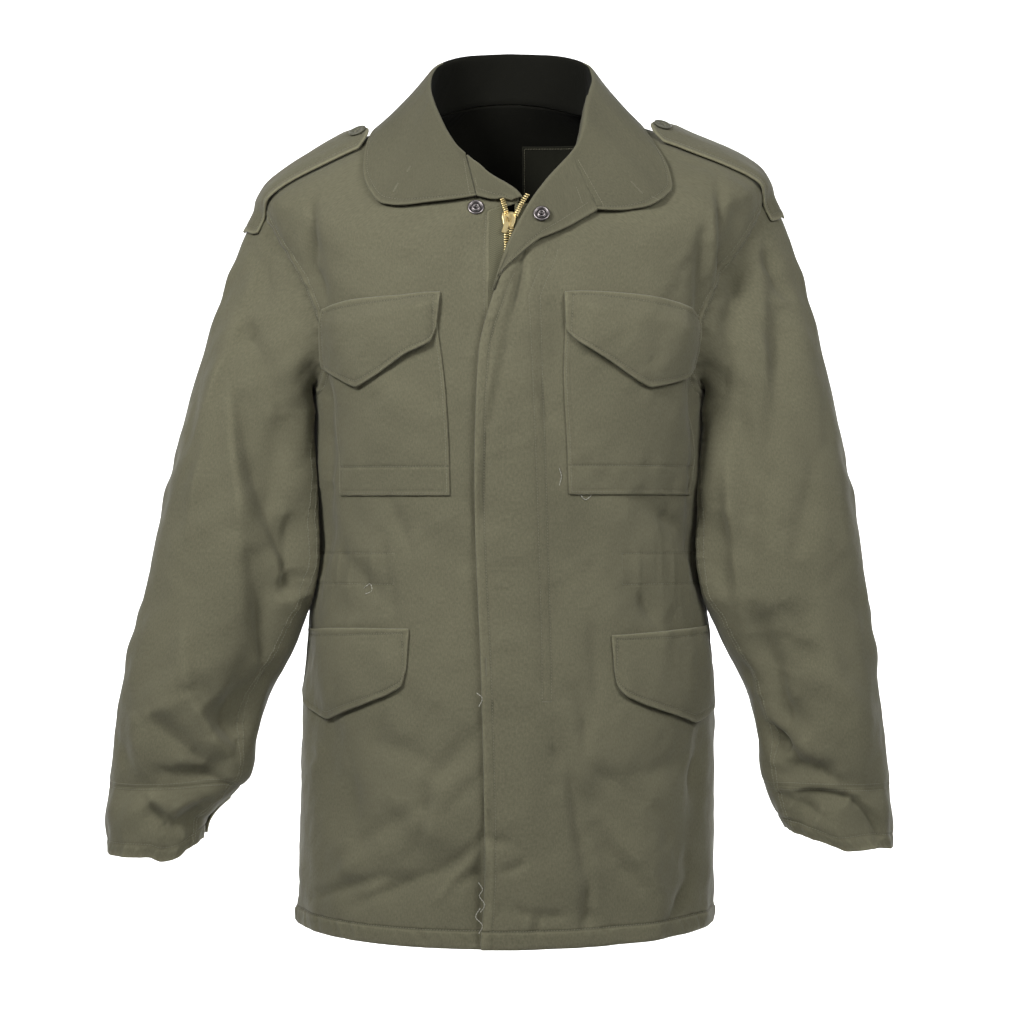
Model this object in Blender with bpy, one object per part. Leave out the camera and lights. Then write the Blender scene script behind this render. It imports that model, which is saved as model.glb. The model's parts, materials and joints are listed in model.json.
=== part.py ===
"""A four-pocket cotton field jacket, filled out as if worn, as one closed solid for each cut and sewn piece.

Run with: blender --background --python part.py
Units are metres. +Z is up, -Y is the garment's front, +X is the wearer's left.
The origin is where the wearer holds it up: the middle of the neck base, level with the shoulder tops.
"""

import math

import bmesh
import bpy
import numpy as np
from mathutils import Matrix, Vector

# ------------------------------------------------------------------ driving dimensions
CLOTH = 0.0018  # a body panel: shell cloth with its facing or seam layers
SLEEVE_CLOTH = 0.0018
DOUBLE = 0.0022  # two layers sewn together: collar, flaps, shoulder loops, tabs
TAPE = 0.0010
SEAM_GAP = 0.0003  # between pieces that meet at a seam
LIE_GAP = 0.0010  # between a panel and what lies on it

SIDE = math.pi / 2  # ring angle of the side seams and the shoulder seams
ARMPIT_T, SHOULDER_TIP_T = 0.575, 0.86
ARMHOLE_DIP_FRONT, ARMHOLE_DIP_BACK = 0.50, 0.30  # how far the armhole cuts in, as ring angles
CUFF_Z = -0.603  # height of the seam between a sleeve and its cuff
SLEEVE_COLUMNS = 20  # columns round a sleeve, which the body panels' rows meet
FLY_LIFT = 0.0056  # the storm fly stands this far off the front beneath, to clear the zip


class Table:
    """Rows under named columns. at() reads one column as a smooth function of the first."""

    def __init__(self, columns, *rows):
        self.columns = columns.split()
        self.values = np.array(rows, float)

    def column(self, name):
        return self.values[:, self.columns.index(name)]

    def at(self, name, where):
        return curve_through(self.values[:, 0], self.column(name), where)


def smooth(x):
    """0 below 0, 1 above 1, and an S curve between."""
    x = np.clip(x, 0.0, 1.0)
    return x * x * (3.0 - 2.0 * x)


def curve_through(stops, values, at):
    """A smooth curve through (stops, values) that doesn't overshoot between them."""
    step = np.diff(stops)
    slope = np.diff(values) / step
    tangent = np.zeros(len(stops))
    same = slope[:-1] * slope[1:] > 0
    before, after = 2 * step[1:] + step[:-1], step[1:] + 2 * step[:-1]
    spread_out = before / np.where(same, slope[:-1], 1) + after / np.where(same, slope[1:], 1)
    tangent[1:-1] = np.where(same, (before + after) / spread_out, 0)
    tangent[0], tangent[-1] = slope[0], slope[-1]
    at = np.clip(np.asarray(at, float), stops[0], stops[-1])
    i = np.clip(np.searchsorted(stops, at, side="right") - 1, 0, len(step) - 1)
    s = (at - stops[i]) / step[i]
    ease = s * s * (3 - 2 * s)
    lean = step[i] * s * (1 - s) * (tangent[i] * (1 - s) - tangent[i + 1] * s)
    return values[i] * (1 - ease) + values[i + 1] * ease + lean


def unit(vectors):
    return vectors / np.maximum(np.linalg.norm(vectors, axis=-1, keepdims=True), 1e-12)


# ------------------------------------------------------------------ the torso's form
# Rings from hem to neck. half: half width. front and back: depth at the centre lines. z_front,
# z_side, z_back: height at the centre front, side and centre back. vee: 2 is a round neck dip.
# lean: how far a ring lies to the wearer's left. slope: how much its left side is raised.
TORSO = Table(
    "t half front back z_front z_side z_back vee lean slope",
    (0.000, 0.1915, 0.1500, 0.1370, -0.7380, -0.7310, -0.7390, 2.0, -0.0025, 0.0000),
    (0.100, 0.1910, 0.1480, 0.1370, -0.6500, -0.6500, -0.6500, 2.0, -0.0010, 0.0000),
    (0.210, 0.1895, 0.1445, 0.1340, -0.5450, -0.5450, -0.5450, 2.0, 0.0000, 0.0000),
    (0.290, 0.1860, 0.1400, 0.1290, -0.4750, -0.4750, -0.4750, 2.0, 0.0000, 0.0000),
    (0.355, 0.1825, 0.1370, 0.1250, -0.4200, -0.4200, -0.4200, 2.0, 0.0000, 0.0000),
    (0.450, 0.1810, 0.1390, 0.1270, -0.3400, -0.3400, -0.3400, 2.0, 0.0010, 0.0000),
    (0.575, 0.1820, 0.1420, 0.1330, -0.2540, -0.2500, -0.2450, 2.0, 0.0020, 0.0000),
    (0.680, 0.1950, 0.1375, 0.1330, -0.1960, -0.1870, -0.1800, 2.0, 0.0030, 0.0000),
    (0.780, 0.2140, 0.1290, 0.1280, -0.1530, -0.1250, -0.1180, 1.9, 0.0050, 0.0010),
    (0.860, 0.2320, 0.1190, 0.1180, -0.1240, -0.0630, -0.0660, 1.8, 0.0060, 0.0070),
    (0.930, 0.1600, 0.1060, 0.0980, -0.0940, -0.0160, -0.0080, 1.8, 0.0030, 0.0035),
    (1.000, 0.0770, 0.0880, 0.0720, -0.0570, 0.0140, 0.0330, 1.8, 0.0000, 0.0010),
)
# The largest folds of the body. u is ring angle times 0.16 m, and z is height, for each end.
BODY_FOLDS = Table(
    "u0 z0 u1 z1 width depth",
    (-0.152, -0.075, -0.154, -0.150, 0.018, -0.0050),
    (0.166, -0.075, 0.172, -0.160, 0.018, -0.0060),
    (-0.215, -0.470, -0.120, -0.640, 0.030, -0.0060),
    (-0.090, -0.690, -0.020, -0.655, 0.022, -0.0060),
    (0.060, -0.600, 0.082, -0.735, 0.020, -0.0060),
    (0.180, -0.560, 0.150, -0.720, 0.028, -0.0060),
    (0.330, -0.430, 0.420, -0.640, 0.032, -0.0070),
    (-0.340, -0.400, -0.430, -0.660, 0.034, -0.0070),
    (0.400, -0.120, 0.420, -0.300, 0.026, -0.0060),
    (-0.400, -0.130, -0.425, -0.290, 0.026, -0.0060),
    (-0.500, -0.420, -0.470, -0.560, 0.030, 0.0060),
)
FOLD_RADIUS = 0.16


def squareness(t):
    return 0.86 + 0.08 * smooth((t - 0.80) / 0.20)


def bare_torso(angle, t):
    """The torso's form without folds at a ring angle (0 in front, + to the wearer's left) and a ring t."""
    angle, t = np.broadcast_arrays(np.asarray(angle, float), np.asarray(t, float))
    read = {name: TORSO.at(name, t) for name in TORSO.columns[1:]}
    sine, cosine = np.sin(angle), np.cos(angle)
    before = cosine > 0
    power = squareness(t)
    x = read["lean"] + read["half"] * np.sign(sine) * np.abs(sine) ** power
    y = np.where(before, -read["front"], read["back"]) * np.abs(cosine) ** power
    middle = np.where(before, read["z_front"], read["z_back"])
    z = middle + (read["z_side"] - middle) * np.abs(sine) ** np.where(before, read["vee"], 2.0)
    z = z + read["slope"] * sine * np.abs(sine)
    return np.stack([x, y, z], axis=-1)


def torso_normal(angle, t, step=2e-3):
    around = bare_torso(angle + step, t) - bare_torso(angle - step, t)
    up = bare_torso(angle, np.clip(t + step, 0, 1)) - bare_torso(angle, np.clip(t - step, 0, 1))
    return unit(np.cross(around, up))


def folded(u, v, folds):
    """How far the folds of a table move a point at (u, v) out of its form."""
    moved = np.zeros(np.broadcast(u, v).shape)
    for u0, v0, u1, v1, width, depth in folds.values:
        length = math.hypot(u1 - u0, v1 - v0)
        along = ((u - u0) * (u1 - u0) + (v - v0) * (v1 - v0)) / length**2
        off = ((v - v0) * (u1 - u0) - (u - u0) * (v1 - v0)) / length
        end = np.maximum(0.0, np.abs(along - 0.5) - 0.35) / 0.22
        moved = moved + depth * np.exp(-((off / width) ** 2) - end**2)
    return moved


def fly_lift(angle, t):
    """How far the wearer's left front stands off the form: the storm fly, fading out past its stitching."""
    x = bare_torso(angle, t)[..., 0]
    return FLY_LIFT * (1 - smooth((x - 0.014) / 0.034)) * smooth((0.99 - t) / 0.03)


def torso(angle, t, lift=0.0):
    """A point on the folded torso, moved out along its normal by lift."""
    point = bare_torso(angle, t)
    fade = smooth((0.97 - t) / 0.06)
    out = lift + fade * folded(np.asarray(angle) * FOLD_RADIUS, point[..., 2], BODY_FOLDS)
    return point + torso_normal(angle, t) * np.asarray(out)[..., None]


def angle_at(x, t):
    """The front ring angle at which ring t has this x."""
    across = x - TORSO.at("lean", t)
    share = np.clip(np.abs(across) / TORSO.at("half", t), 0.0, 1.0)
    return np.sign(across) * np.arcsin(share ** (1 / squareness(t)))


def armhole_angle(t, dip):
    """The ring angle where the armhole cuts ring t, measured from the centre of its panel."""
    s = (t - ARMPIT_T) / (SHOULDER_TIP_T - ARMPIT_T)
    inside = (s > 0) & (s < 1)
    lean = np.clip(1 - 2 * s, -1, 1)
    bite = np.sqrt(np.clip(1 - lean**2, 0, 1)) * (1 + 0.3 * lean)
    return SIDE - np.where(inside, dip * bite, 0.0)


# The free edges of the two fronts, by ring: the edge under the fly, the fly's edge, and above
# them the lines along which the neck corners turn out. x is across, + to the wearer's left.
FRONT_EDGE_RIGHT = Table(
    "t x",
    (0.000, -0.0170),
    (0.940, -0.0170),
    (0.951, -0.0080),
    (0.963, 0.0096),
    (0.975, 0.0040),
    (0.985, -0.0040),
    (1.000, -0.0280),
)
FRONT_EDGE_LEFT = Table(
    "t x",
    (0.000, -0.0230),
    (0.090, -0.0195),
    (0.250, -0.0225),
    (0.460, -0.0285),
    (0.640, -0.0250),
    (0.740, -0.0140),
    (0.852, 0.0008),
    (0.934, 0.0192),
    (0.966, 0.0310),
    (0.978, 0.0410),
    (0.985, 0.0600),
    (1.000, 0.0700),
)
GORGE_RIGHT = (-0.0400, 1.000)  # x and t where the collar meets the turned corner of a front
GORGE_LEFT = (0.0600, 0.985)


YOKE_ROWS = (0.895, 0.930, 0.941, 0.951, 0.963, 0.974, 0.985, 0.990, 0.995, 1.0)


def panel_rows():
    """Ring values for the rows of a body panel, closest together round the armhole's ends."""
    skirt = np.linspace(0.0, ARMPIT_T, 12)[:-1]
    turn = np.linspace(0.0, math.pi, SLEEVE_COLUMNS // 2 + 1)
    sleeve = ARMPIT_T + (SHOULDER_TIP_T - ARMPIT_T) * (1 - np.cos(turn)) / 2
    return np.concatenate([skirt, sleeve, YOKE_ROWS])


def seam_angle(t):
    """Half of the seam gap, as a ring angle."""
    return 0.5 * SEAM_GAP / np.maximum(TORSO.at("half", t) * 0.75, 0.05)


# ------------------------------------------------------------------ solids
def clear_scene():
    for item in list(bpy.data.objects):
        bpy.data.objects.remove(item, do_unlink=True)
    collection = bpy.data.collections.new("field_jacket")
    bpy.context.scene.collection.children.link(collection)
    return collection


def finish_material(name, colour, roughness, metallic=0.0):
    material = bpy.data.materials.new(name)
    material.use_nodes = True
    shader = material.node_tree.nodes["Principled BSDF"]
    shader.inputs["Base Color"].default_value = (*colour, 1.0)
    shader.inputs["Roughness"].default_value = roughness
    shader.inputs["Metallic"].default_value = metallic
    material.diffuse_color = (*colour, 1.0)
    return material


class Maker:
    """Adds named solids to the jacket's collection."""

    def __init__(self, collection):
        self.collection = collection
        self.finishes = {
            "shell": finish_material("olive_sateen", (0.145, 0.137, 0.090), 0.85),
            "tape": finish_material("zip_tape", (0.110, 0.105, 0.062), 0.90),
            "patch": finish_material("neck_patch", (0.040, 0.040, 0.026), 0.90),
            "brass": finish_material("brass", (0.72, 0.58, 0.30), 0.30, 1.0),
            "gunmetal": finish_material("gunmetal", (0.10, 0.09, 0.09), 0.35, 1.0),
            "button": finish_material("button", (0.120, 0.118, 0.085), 0.55),
        }

    def add(self, name, bm, finish):
        if bm.calc_volume(signed=True) < 0:
            bmesh.ops.reverse_faces(bm, faces=bm.faces[:])
        mesh = bpy.data.meshes.new(name)
        bm.to_mesh(mesh)
        bm.free()
        mesh.materials.append(self.finishes[finish])
        mesh.shade_smooth()
        mesh.set_sharp_from_angle(angle=math.radians(40))
        item = bpy.data.objects.new(name, mesh)
        self.collection.objects.link(item)
        return item

    def disc(self, name, centre, normal, radius, thickness, finish, sides=20):
        """A flat round piece with a softened rim, its axis along normal."""
        bm = bmesh.new()
        bmesh.ops.create_cone(
            bm, cap_ends=True, segments=sides, radius1=radius, radius2=radius * 0.90, depth=thickness
        )
        turn = Vector(normal).to_track_quat("Z", "Y").to_matrix().to_4x4()
        turn.translation = Vector(centre)
        bmesh.ops.transform(bm, matrix=turn, verts=bm.verts[:])
        return self.add(name, bm, finish)

    def join(self, body, piece):
        """Makes the piece part of the body by a union."""
        union = body.modifiers.new("union", "BOOLEAN")
        union.operation = "UNION"
        union.object = piece
        graph = bpy.context.evaluated_depsgraph_get()
        body.data = bpy.data.meshes.new_from_object(body.evaluated_get(graph))
        body.modifiers.clear()
        bpy.data.objects.remove(piece, do_unlink=True)

    def wall(self, name, middle, normals, thickness, finish="shell", tube=False):
        """Cloth of this thickness, half to each side of a grid of middle points. A tube's columns close."""
        bm = bmesh.new()
        skins = []
        for side in (0.5, -0.5):
            points = middle + normals * (side * thickness)
            skins.append([[bm.verts.new(p) for p in row] for row in points])
        rows, columns = middle.shape[:2]
        spans = columns if tube else columns - 1
        outer, inner = skins
        for i in range(rows - 1):
            for j in range(spans):
                k = (j + 1) % columns
                bm.faces.new((outer[i][j], outer[i + 1][j], outer[i + 1][k], outer[i][k]))
                bm.faces.new((inner[i][k], inner[i + 1][k], inner[i + 1][j], inner[i][j]))
        for j in range(spans):
            k = (j + 1) % columns
            bm.faces.new((outer[0][k], inner[0][k], inner[0][j], outer[0][j]))
            bm.faces.new((outer[-1][j], inner[-1][j], inner[-1][k], outer[-1][k]))
        if not tube:
            for i in range(rows - 1):
                bm.faces.new((outer[i][0], inner[i][0], inner[i + 1][0], outer[i + 1][0]))
                bm.faces.new((outer[i + 1][-1], inner[i + 1][-1], inner[i][-1], outer[i][-1]))
        return self.add(name, bm, finish)


def grid_normals(points, tube=False):
    """Normals of a grid of points, to the side that its rows and columns turn to."""
    down = np.gradient(points, axis=0)
    if tube:
        across = np.roll(points, -1, axis=1) - np.roll(points, 1, axis=1)
    else:
        across = np.gradient(points, axis=1)
    return unit(np.cross(across, down))


# ------------------------------------------------------------------ body panels
def spread(start, end, count, bias=1.0):
    """Values from start to end for each row, closer together at the start if bias is over 1."""
    return start[:, None] + (end - start)[:, None] * (np.linspace(0, 1, count) ** bias)[None, :]


def make_fronts(maker, columns=12):
    t = panel_rows()
    seam = armhole_angle(t, ARMHOLE_DIP_FRONT) - seam_angle(t)
    for side, name, edge in ((-1, "front_right", FRONT_EDGE_RIGHT), (1, "front_left", FRONT_EDGE_LEFT)):
        start = angle_at(edge.at("x", t), t)
        angle = spread(start, side * seam, columns, 1.25)
        rows = np.broadcast_to(t[:, None], angle.shape)
        lift = fly_lift(angle, rows) if side > 0 else 0.0
        maker.wall(name, torso(angle, rows, lift), torso_normal(angle, rows), CLOTH)


def make_back(maker, columns=17):
    t = panel_rows()
    seam = armhole_angle(t, ARMHOLE_DIP_BACK) - seam_angle(t)
    angle = math.pi - spread(seam, -seam, columns)
    rows = np.broadcast_to(t[:, None], angle.shape)
    maker.wall("back", torso(angle, rows), torso_normal(angle, rows), CLOTH)


# ------------------------------------------------------------------ sleeves
# Level sections of each sleeve under the armhole. x and y: the middle. half and deep: half
# width and half depth. Sides are mirrored in x.
SLEEVE_RIGHT = Table(
    "z x half y deep",
    (-0.6680, 0.3240, 0.0410, -0.040, 0.0440),
    (-0.6400, 0.3220, 0.0445, -0.040, 0.0480),
    (-0.5950, 0.2998, 0.0632, -0.038, 0.0560),
    (-0.5400, 0.2913, 0.0657, -0.036, 0.0620),
    (-0.4840, 0.2725, 0.0745, -0.034, 0.0640),
    (-0.4550, 0.2630, 0.0770, -0.032, 0.0655),
    (-0.4280, 0.2520, 0.0799, -0.030, 0.0665),
    (-0.3600, 0.2453, 0.0733, -0.025, 0.0680),
    (-0.3000, 0.2418, 0.0639, -0.014, 0.0690),
)
SLEEVE_LEFT = Table(
    "z x half y deep",
    (-0.6680, 0.3155, 0.0360, -0.040, 0.0430),
    (-0.6400, 0.3015, 0.0490, -0.040, 0.0480),
    (-0.5950, 0.2907, 0.0572, -0.038, 0.0560),
    (-0.5400, 0.2838, 0.0576, -0.036, 0.0610),
    (-0.4840, 0.2690, 0.0672, -0.034, 0.0640),
    (-0.4550, 0.2603, 0.0723, -0.032, 0.0655),
    (-0.4280, 0.2503, 0.0783, -0.030, 0.0665),
    (-0.3600, 0.2458, 0.0738, -0.025, 0.0680),
    (-0.3000, 0.2438, 0.0658, -0.014, 0.0690),
)
SLEEVE_CLEAR = 0.0031  # between the middles of the sleeve's cloth and the body's
CAP_FULLNESS = {"right": (0.025, 0.092), "left": (0.028, 0.110)}
# The largest folds of a sleeve: u is the angle round it times 0.065 m (0 faces the body, + to
# the front), z is height.
SLEEVE_FOLDS = Table(
    "u0 z0 u1 z1 width depth",
    (0.060, -0.590, 0.170, -0.610, 0.014, -0.0060),
    (0.075, -0.330, 0.060, -0.560, 0.018, -0.0070),
    (0.300, -0.450, 0.360, -0.560, 0.020, -0.0060),
    (0.330, -0.300, 0.300, -0.420, 0.022, -0.0060),
    (0.110, -0.480, 0.140, -0.570, 0.018, 0.0040),
)
SLEEVE_FOLD_RADIUS = 0.065
SLEEVE_TOP_Z = -0.300
SLEEVE_HEM_Z = {"right": -0.6655, "left": -0.6610}
SLEEVE_ROWS, CUFF_ROWS = 11, 5
# How much a cuff's hem rises round the wrist. inward is 1 on the body's side and -1 away from it.
HEM_RISE = {
    "right": Table("inward z", (-1, 0), (0, 0), (0.26, -0.004), (0.54, -0.002), (0.8, 0.005), (1, 0.012)),
    "left": Table("inward z", (-1, 0), (-0.6, 0.003), (0.1, 0.001), (0.48, 0.0085), (0.9, 0.016), (1, 0.018)),
}


def armhole_loop(turn, side):
    """Ring angle and t round an armhole: turn 0 at the armpit, up the front to the shoulder and down."""
    t = ARMPIT_T + (SHOULDER_TIP_T - ARMPIT_T) * (1 - np.cos(turn)) / 2
    before = armhole_angle(t, ARMHOLE_DIP_FRONT)
    behind = math.pi - armhole_angle(t, ARMHOLE_DIP_BACK)
    return side * np.where(turn % (2 * math.pi) <= math.pi, before, behind), t


def armhole_frame(turn, side):
    """Points round the armhole, the body's normals there, and the way out of the body panel at each."""
    angle, t = armhole_loop(turn, side)
    step = 1e-3
    along = unit(bare_torso(*armhole_loop(turn + step, side)) - bare_torso(*armhole_loop(turn - step, side)))
    normal = torso_normal(angle, t)
    return torso(angle, t), normal, unit(np.cross(along, normal)) * side


def body_half_width(y, z):
    """Half the width of the bare form below the armholes, at this depth and height."""
    t = np.interp(z, TORSO.column("z_side"), TORSO.column("t"))
    power = 2 / squareness(t)
    depth = np.where(y < 0, TORSO.at("front", t), TORSO.at("back", t))
    return TORSO.at("half", t) * np.clip(1 - np.abs(y / depth) ** power, 0, 1) ** (1 / power)


def sleeve_section(table, turn, z, side):
    """A level section of the sleeve, pressed against the body but clear of it."""
    across, deep = np.cos(turn), np.sin(turn)
    x = table.at("x", z) - table.at("half", z) * np.sign(across) * np.abs(across) ** 0.92
    y = table.at("y", z) - table.at("deep", z) * np.sign(deep) * np.abs(deep) ** 0.92
    least = body_half_width(y, z) + SLEEVE_CLEAR
    soft = 0.004
    x = (x + least + np.sqrt((x - least) ** 2 + soft**2)) / 2
    return np.stack(np.broadcast_arrays(side * x, y, z), axis=-1)


def sleeve_grid(name, side, heights, cap_rows=8, columns=SLEEVE_COLUMNS):
    """Middle points and normals of a sleeve, from its armhole down to the last of the heights."""
    table = SLEEVE_RIGHT if side < 0 else SLEEVE_LEFT
    leave_length, arrive_length = CAP_FULLNESS[name]
    turn = np.arange(columns) / columns * 2 * math.pi
    low = (np.cos(turn) * 0.5 + 0.5)[:, None]  # 1 at the armpit, 0 at the shoulder
    loop, loop_normal, outward = armhole_frame(turn, side)
    start = loop + outward * SEAM_GAP
    fall = unit(outward + np.array([1.1 * side, 0, 0]) * (1 - low) ** 2)
    leave = start + (leave_length * (1 - 0.6 * low)) * fall + 0.006 * low * loop_normal
    top = heights[0]
    end = sleeve_section(table, turn, np.full(columns, top), side)
    below = sleeve_section(table, turn, np.full(columns, top - 0.01), side)
    arrive = end + unit(end - below) * arrive_length * (1 - 0.74 * low)
    rows = []
    for s in np.linspace(0, 1, cap_rows)[:-1]:
        early, late = start * (1 - s) + leave * 3 * s, arrive * 3 * (1 - s) + end * s
        rows.append(early * (1 - s) ** 2 + late * s * s)
    rise = HEM_RISE[name].at("z", np.cos(turn))
    for z in heights:
        share = smooth((CUFF_Z - z) / (CUFF_Z - SLEEVE_HEM_Z[name]))
        rows.append(sleeve_section(table, turn, z + share * rise, side))
    points = np.array(rows)
    normals = grid_normals(points, tube=True)
    away = points - points.mean(axis=1, keepdims=True)
    normals *= np.sign((normals * away).sum())
    normals[0] = loop_normal
    around = np.where(turn <= math.pi, turn, 2 * math.pi - turn) * SLEEVE_FOLD_RADIUS
    down = smooth((-0.26 - points[..., 2]) / 0.06)
    moved = folded(np.broadcast_to(around, down.shape), points[..., 2], SLEEVE_FOLDS) * down
    return points + normals * moved[..., None], normals


def make_sleeves(maker):
    """Each sleeve and its cuff are one grid, parted at the cuff's seam."""
    for side, name in ((-1, "right"), (1, "left")):
        heights = np.concatenate([
            np.linspace(SLEEVE_TOP_Z, CUFF_Z, SLEEVE_ROWS),
            np.linspace(CUFF_Z, SLEEVE_HEM_Z[name], CUFF_ROWS)[1:],
        ])
        points, normals = sleeve_grid(name, side, heights)
        last = len(points) - CUFF_ROWS
        maker.wall(f"sleeve_{name}", points[: last + 1], normals[: last + 1], SLEEVE_CLOTH, tube=True)
        cuff = points[last:].copy()
        cuff[0] += unit(cuff[1] - cuff[0]) * SEAM_GAP
        maker.wall(f"cuff_{name}", cuff, normals[last:], SLEEVE_CLOTH, tube=True)


# ------------------------------------------------------------------ what lies on the body
def t_at(angle, z):
    """The ring on which the bare form has this height, at each ring angle."""
    low, high = np.zeros(np.shape(angle)), np.ones(np.shape(angle))
    for _ in range(30):
        middle = (low + high) / 2
        under = bare_torso(angle, middle)[..., 2] < z
        low, high = np.where(under, middle, low), np.where(under, high, middle)
    return (low + high) / 2


def on_body(around, z, lift):
    """Points and normals on the body from a flat place on it: around is ring angle times 0.16 m."""
    angle = np.asarray(around) / FOLD_RADIUS
    t = t_at(angle, z)
    lift = lift + np.where(angle > 0, fly_lift(angle, t), 0.0)
    return torso(angle, t, lift), torso_normal(angle, t)


# Each flap from its edge nearest the fly outwards: the places of its top and lower edges.
CHEST_FLAPS = {
    "right": Table(
        "share top_u top_z low_u low_z",
        (0.00, -0.0410, -0.1614, -0.0455, -0.1930),
        (0.08, -0.0500, -0.1615, -0.0500, -0.2050),
        (0.24, -0.0700, -0.1635, -0.0690, -0.2155),
        (0.60, -0.1130, -0.1660, -0.1190, -0.2435),
        (0.84, -0.1400, -0.1700, -0.1490, -0.2320),
        (1.00, -0.1555, -0.1730, -0.1755, -0.2245),
    ),
    "left": Table(
        "share top_u top_z low_u low_z",
        (0.00, 0.0275, -0.1614, 0.0320, -0.1950),
        (0.08, 0.0400, -0.1605, 0.0400, -0.2050),
        (0.20, 0.0560, -0.1610, 0.0580, -0.2174),
        (0.56, 0.1020, -0.1650, 0.1050, -0.2439),
        (0.86, 0.1440, -0.1735, 0.1540, -0.2328),
        (1.00, 0.1605, -0.1800, 0.1720, -0.2245),
    ),
}
HIP_FLAPS = {
    "right": Table(
        "share top_u top_z low_u low_z",
        (0.00, -0.0690, -0.4590, -0.0695, -0.4940),
        (0.06, -0.0800, -0.4590, -0.0730, -0.5080),
        (0.15, -0.0940, -0.4590, -0.0865, -0.5170),
        (0.50, -0.1520, -0.4600, -0.1575, -0.5406),
        (0.90, -0.2080, -0.4620, -0.2200, -0.5270),
        (1.00, -0.2220, -0.4620, -0.2310, -0.5190),
    ),
    "left": Table(
        "share top_u top_z low_u low_z",
        (0.00, 0.0730, -0.4647, 0.0740, -0.4960),
        (0.05, 0.0800, -0.4645, 0.0760, -0.5080),
        (0.12, 0.0900, -0.4640, 0.0820, -0.5165),
        (0.50, 0.1520, -0.4610, 0.1650, -0.5440),
        (0.90, 0.2050, -0.4595, 0.2200, -0.5300),
        (1.00, 0.2170, -0.4590, 0.2280, -0.5210),
    ),
}
# Chest pockets by height: the places of their inner and outer edges.
CHEST_POCKETS = {
    "right": Table(
        "z inner outer",
        (-0.3400, -0.0380, -0.1490),
        (-0.2900, -0.0395, -0.1560),
        (-0.2320, -0.0430, -0.1660),
        (-0.1860, -0.0455, -0.1640),
    ),
    "left": Table(
        "z inner outer",
        (-0.3390, 0.0385, 0.1880),
        (-0.2880, 0.0365, 0.1930),
        (-0.2600, 0.0345, 0.1760),
        (-0.2330, 0.0330, 0.1580),
        (-0.1870, 0.0310, 0.1520),
    ),
}
FLAP_SWELL, POCKET_SWELL = 0.0030, 0.0040


def make_flap(maker, name, table, over, over_swell, columns=11, rows=6):
    """A doubled flap: its top edge is sewn down, and below that it stands 'over' and more in its middle."""
    share = np.linspace(0, 1, columns)[None, :]
    drop = np.linspace(0, 1, rows)[:, None]
    around = table.at("top_u", share) * (1 - drop) + table.at("low_u", share) * drop
    z = table.at("top_z", share) * (1 - drop) + table.at("low_z", share) * drop
    rest = CLOTH / 2 + LIE_GAP + DOUBLE / 2
    full = smooth(share / 0.15) * smooth((1 - share) / 0.30)
    swell = (FLAP_SWELL * np.sin(math.pi * drop * 0.8) + over_swell * smooth(drop / 0.30)) * full
    lift = rest + over * smooth(drop / 0.30) + swell
    points, normals = on_body(around, z, lift)
    maker.wall(name, points, normals, DOUBLE)


def make_pocket(maker, name, table, columns=9, rows=9):
    share = np.linspace(0, 1, columns)[None, :]
    z = np.linspace(table.column("z")[0], table.column("z")[-1], rows)[:, None]
    around = table.at("inner", z) * (1 - share) + table.at("outer", z) * share
    middle = 16 * share * (1 - share) * (1 - (2 * (z - z[0]) / (z[-1] - z[0]) - 1) ** 2) / 4
    lift = CLOTH + LIE_GAP + POCKET_SWELL * middle
    points, normals = on_body(around, z + 0 * share, lift)
    maker.wall(name, points, normals, CLOTH)


def make_pockets(maker):
    for side in ("right", "left"):
        make_pocket(maker, f"chest_pocket_{side}", CHEST_POCKETS[side])
        make_flap(maker, f"chest_flap_{side}", CHEST_FLAPS[side], CLOTH + LIE_GAP * 1.6, POCKET_SWELL)
        make_flap(maker, f"hip_flap_{side}", HIP_FLAPS[side], 0.0004, 0.0006)


# ------------------------------------------------------------------ collar and turned corners
ROLL_RADIUS = 0.0030  # of the middle of the cloth where the collar and the corners roll over
EDGE_CLEAR = 0.0021  # from a panel's edge to the middle of the cloth rolled round it
ROLL_REACH, ROLL_RISE = 0.0010, 0.0048  # of the roll from the seam: off the panel, and above it

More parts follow.
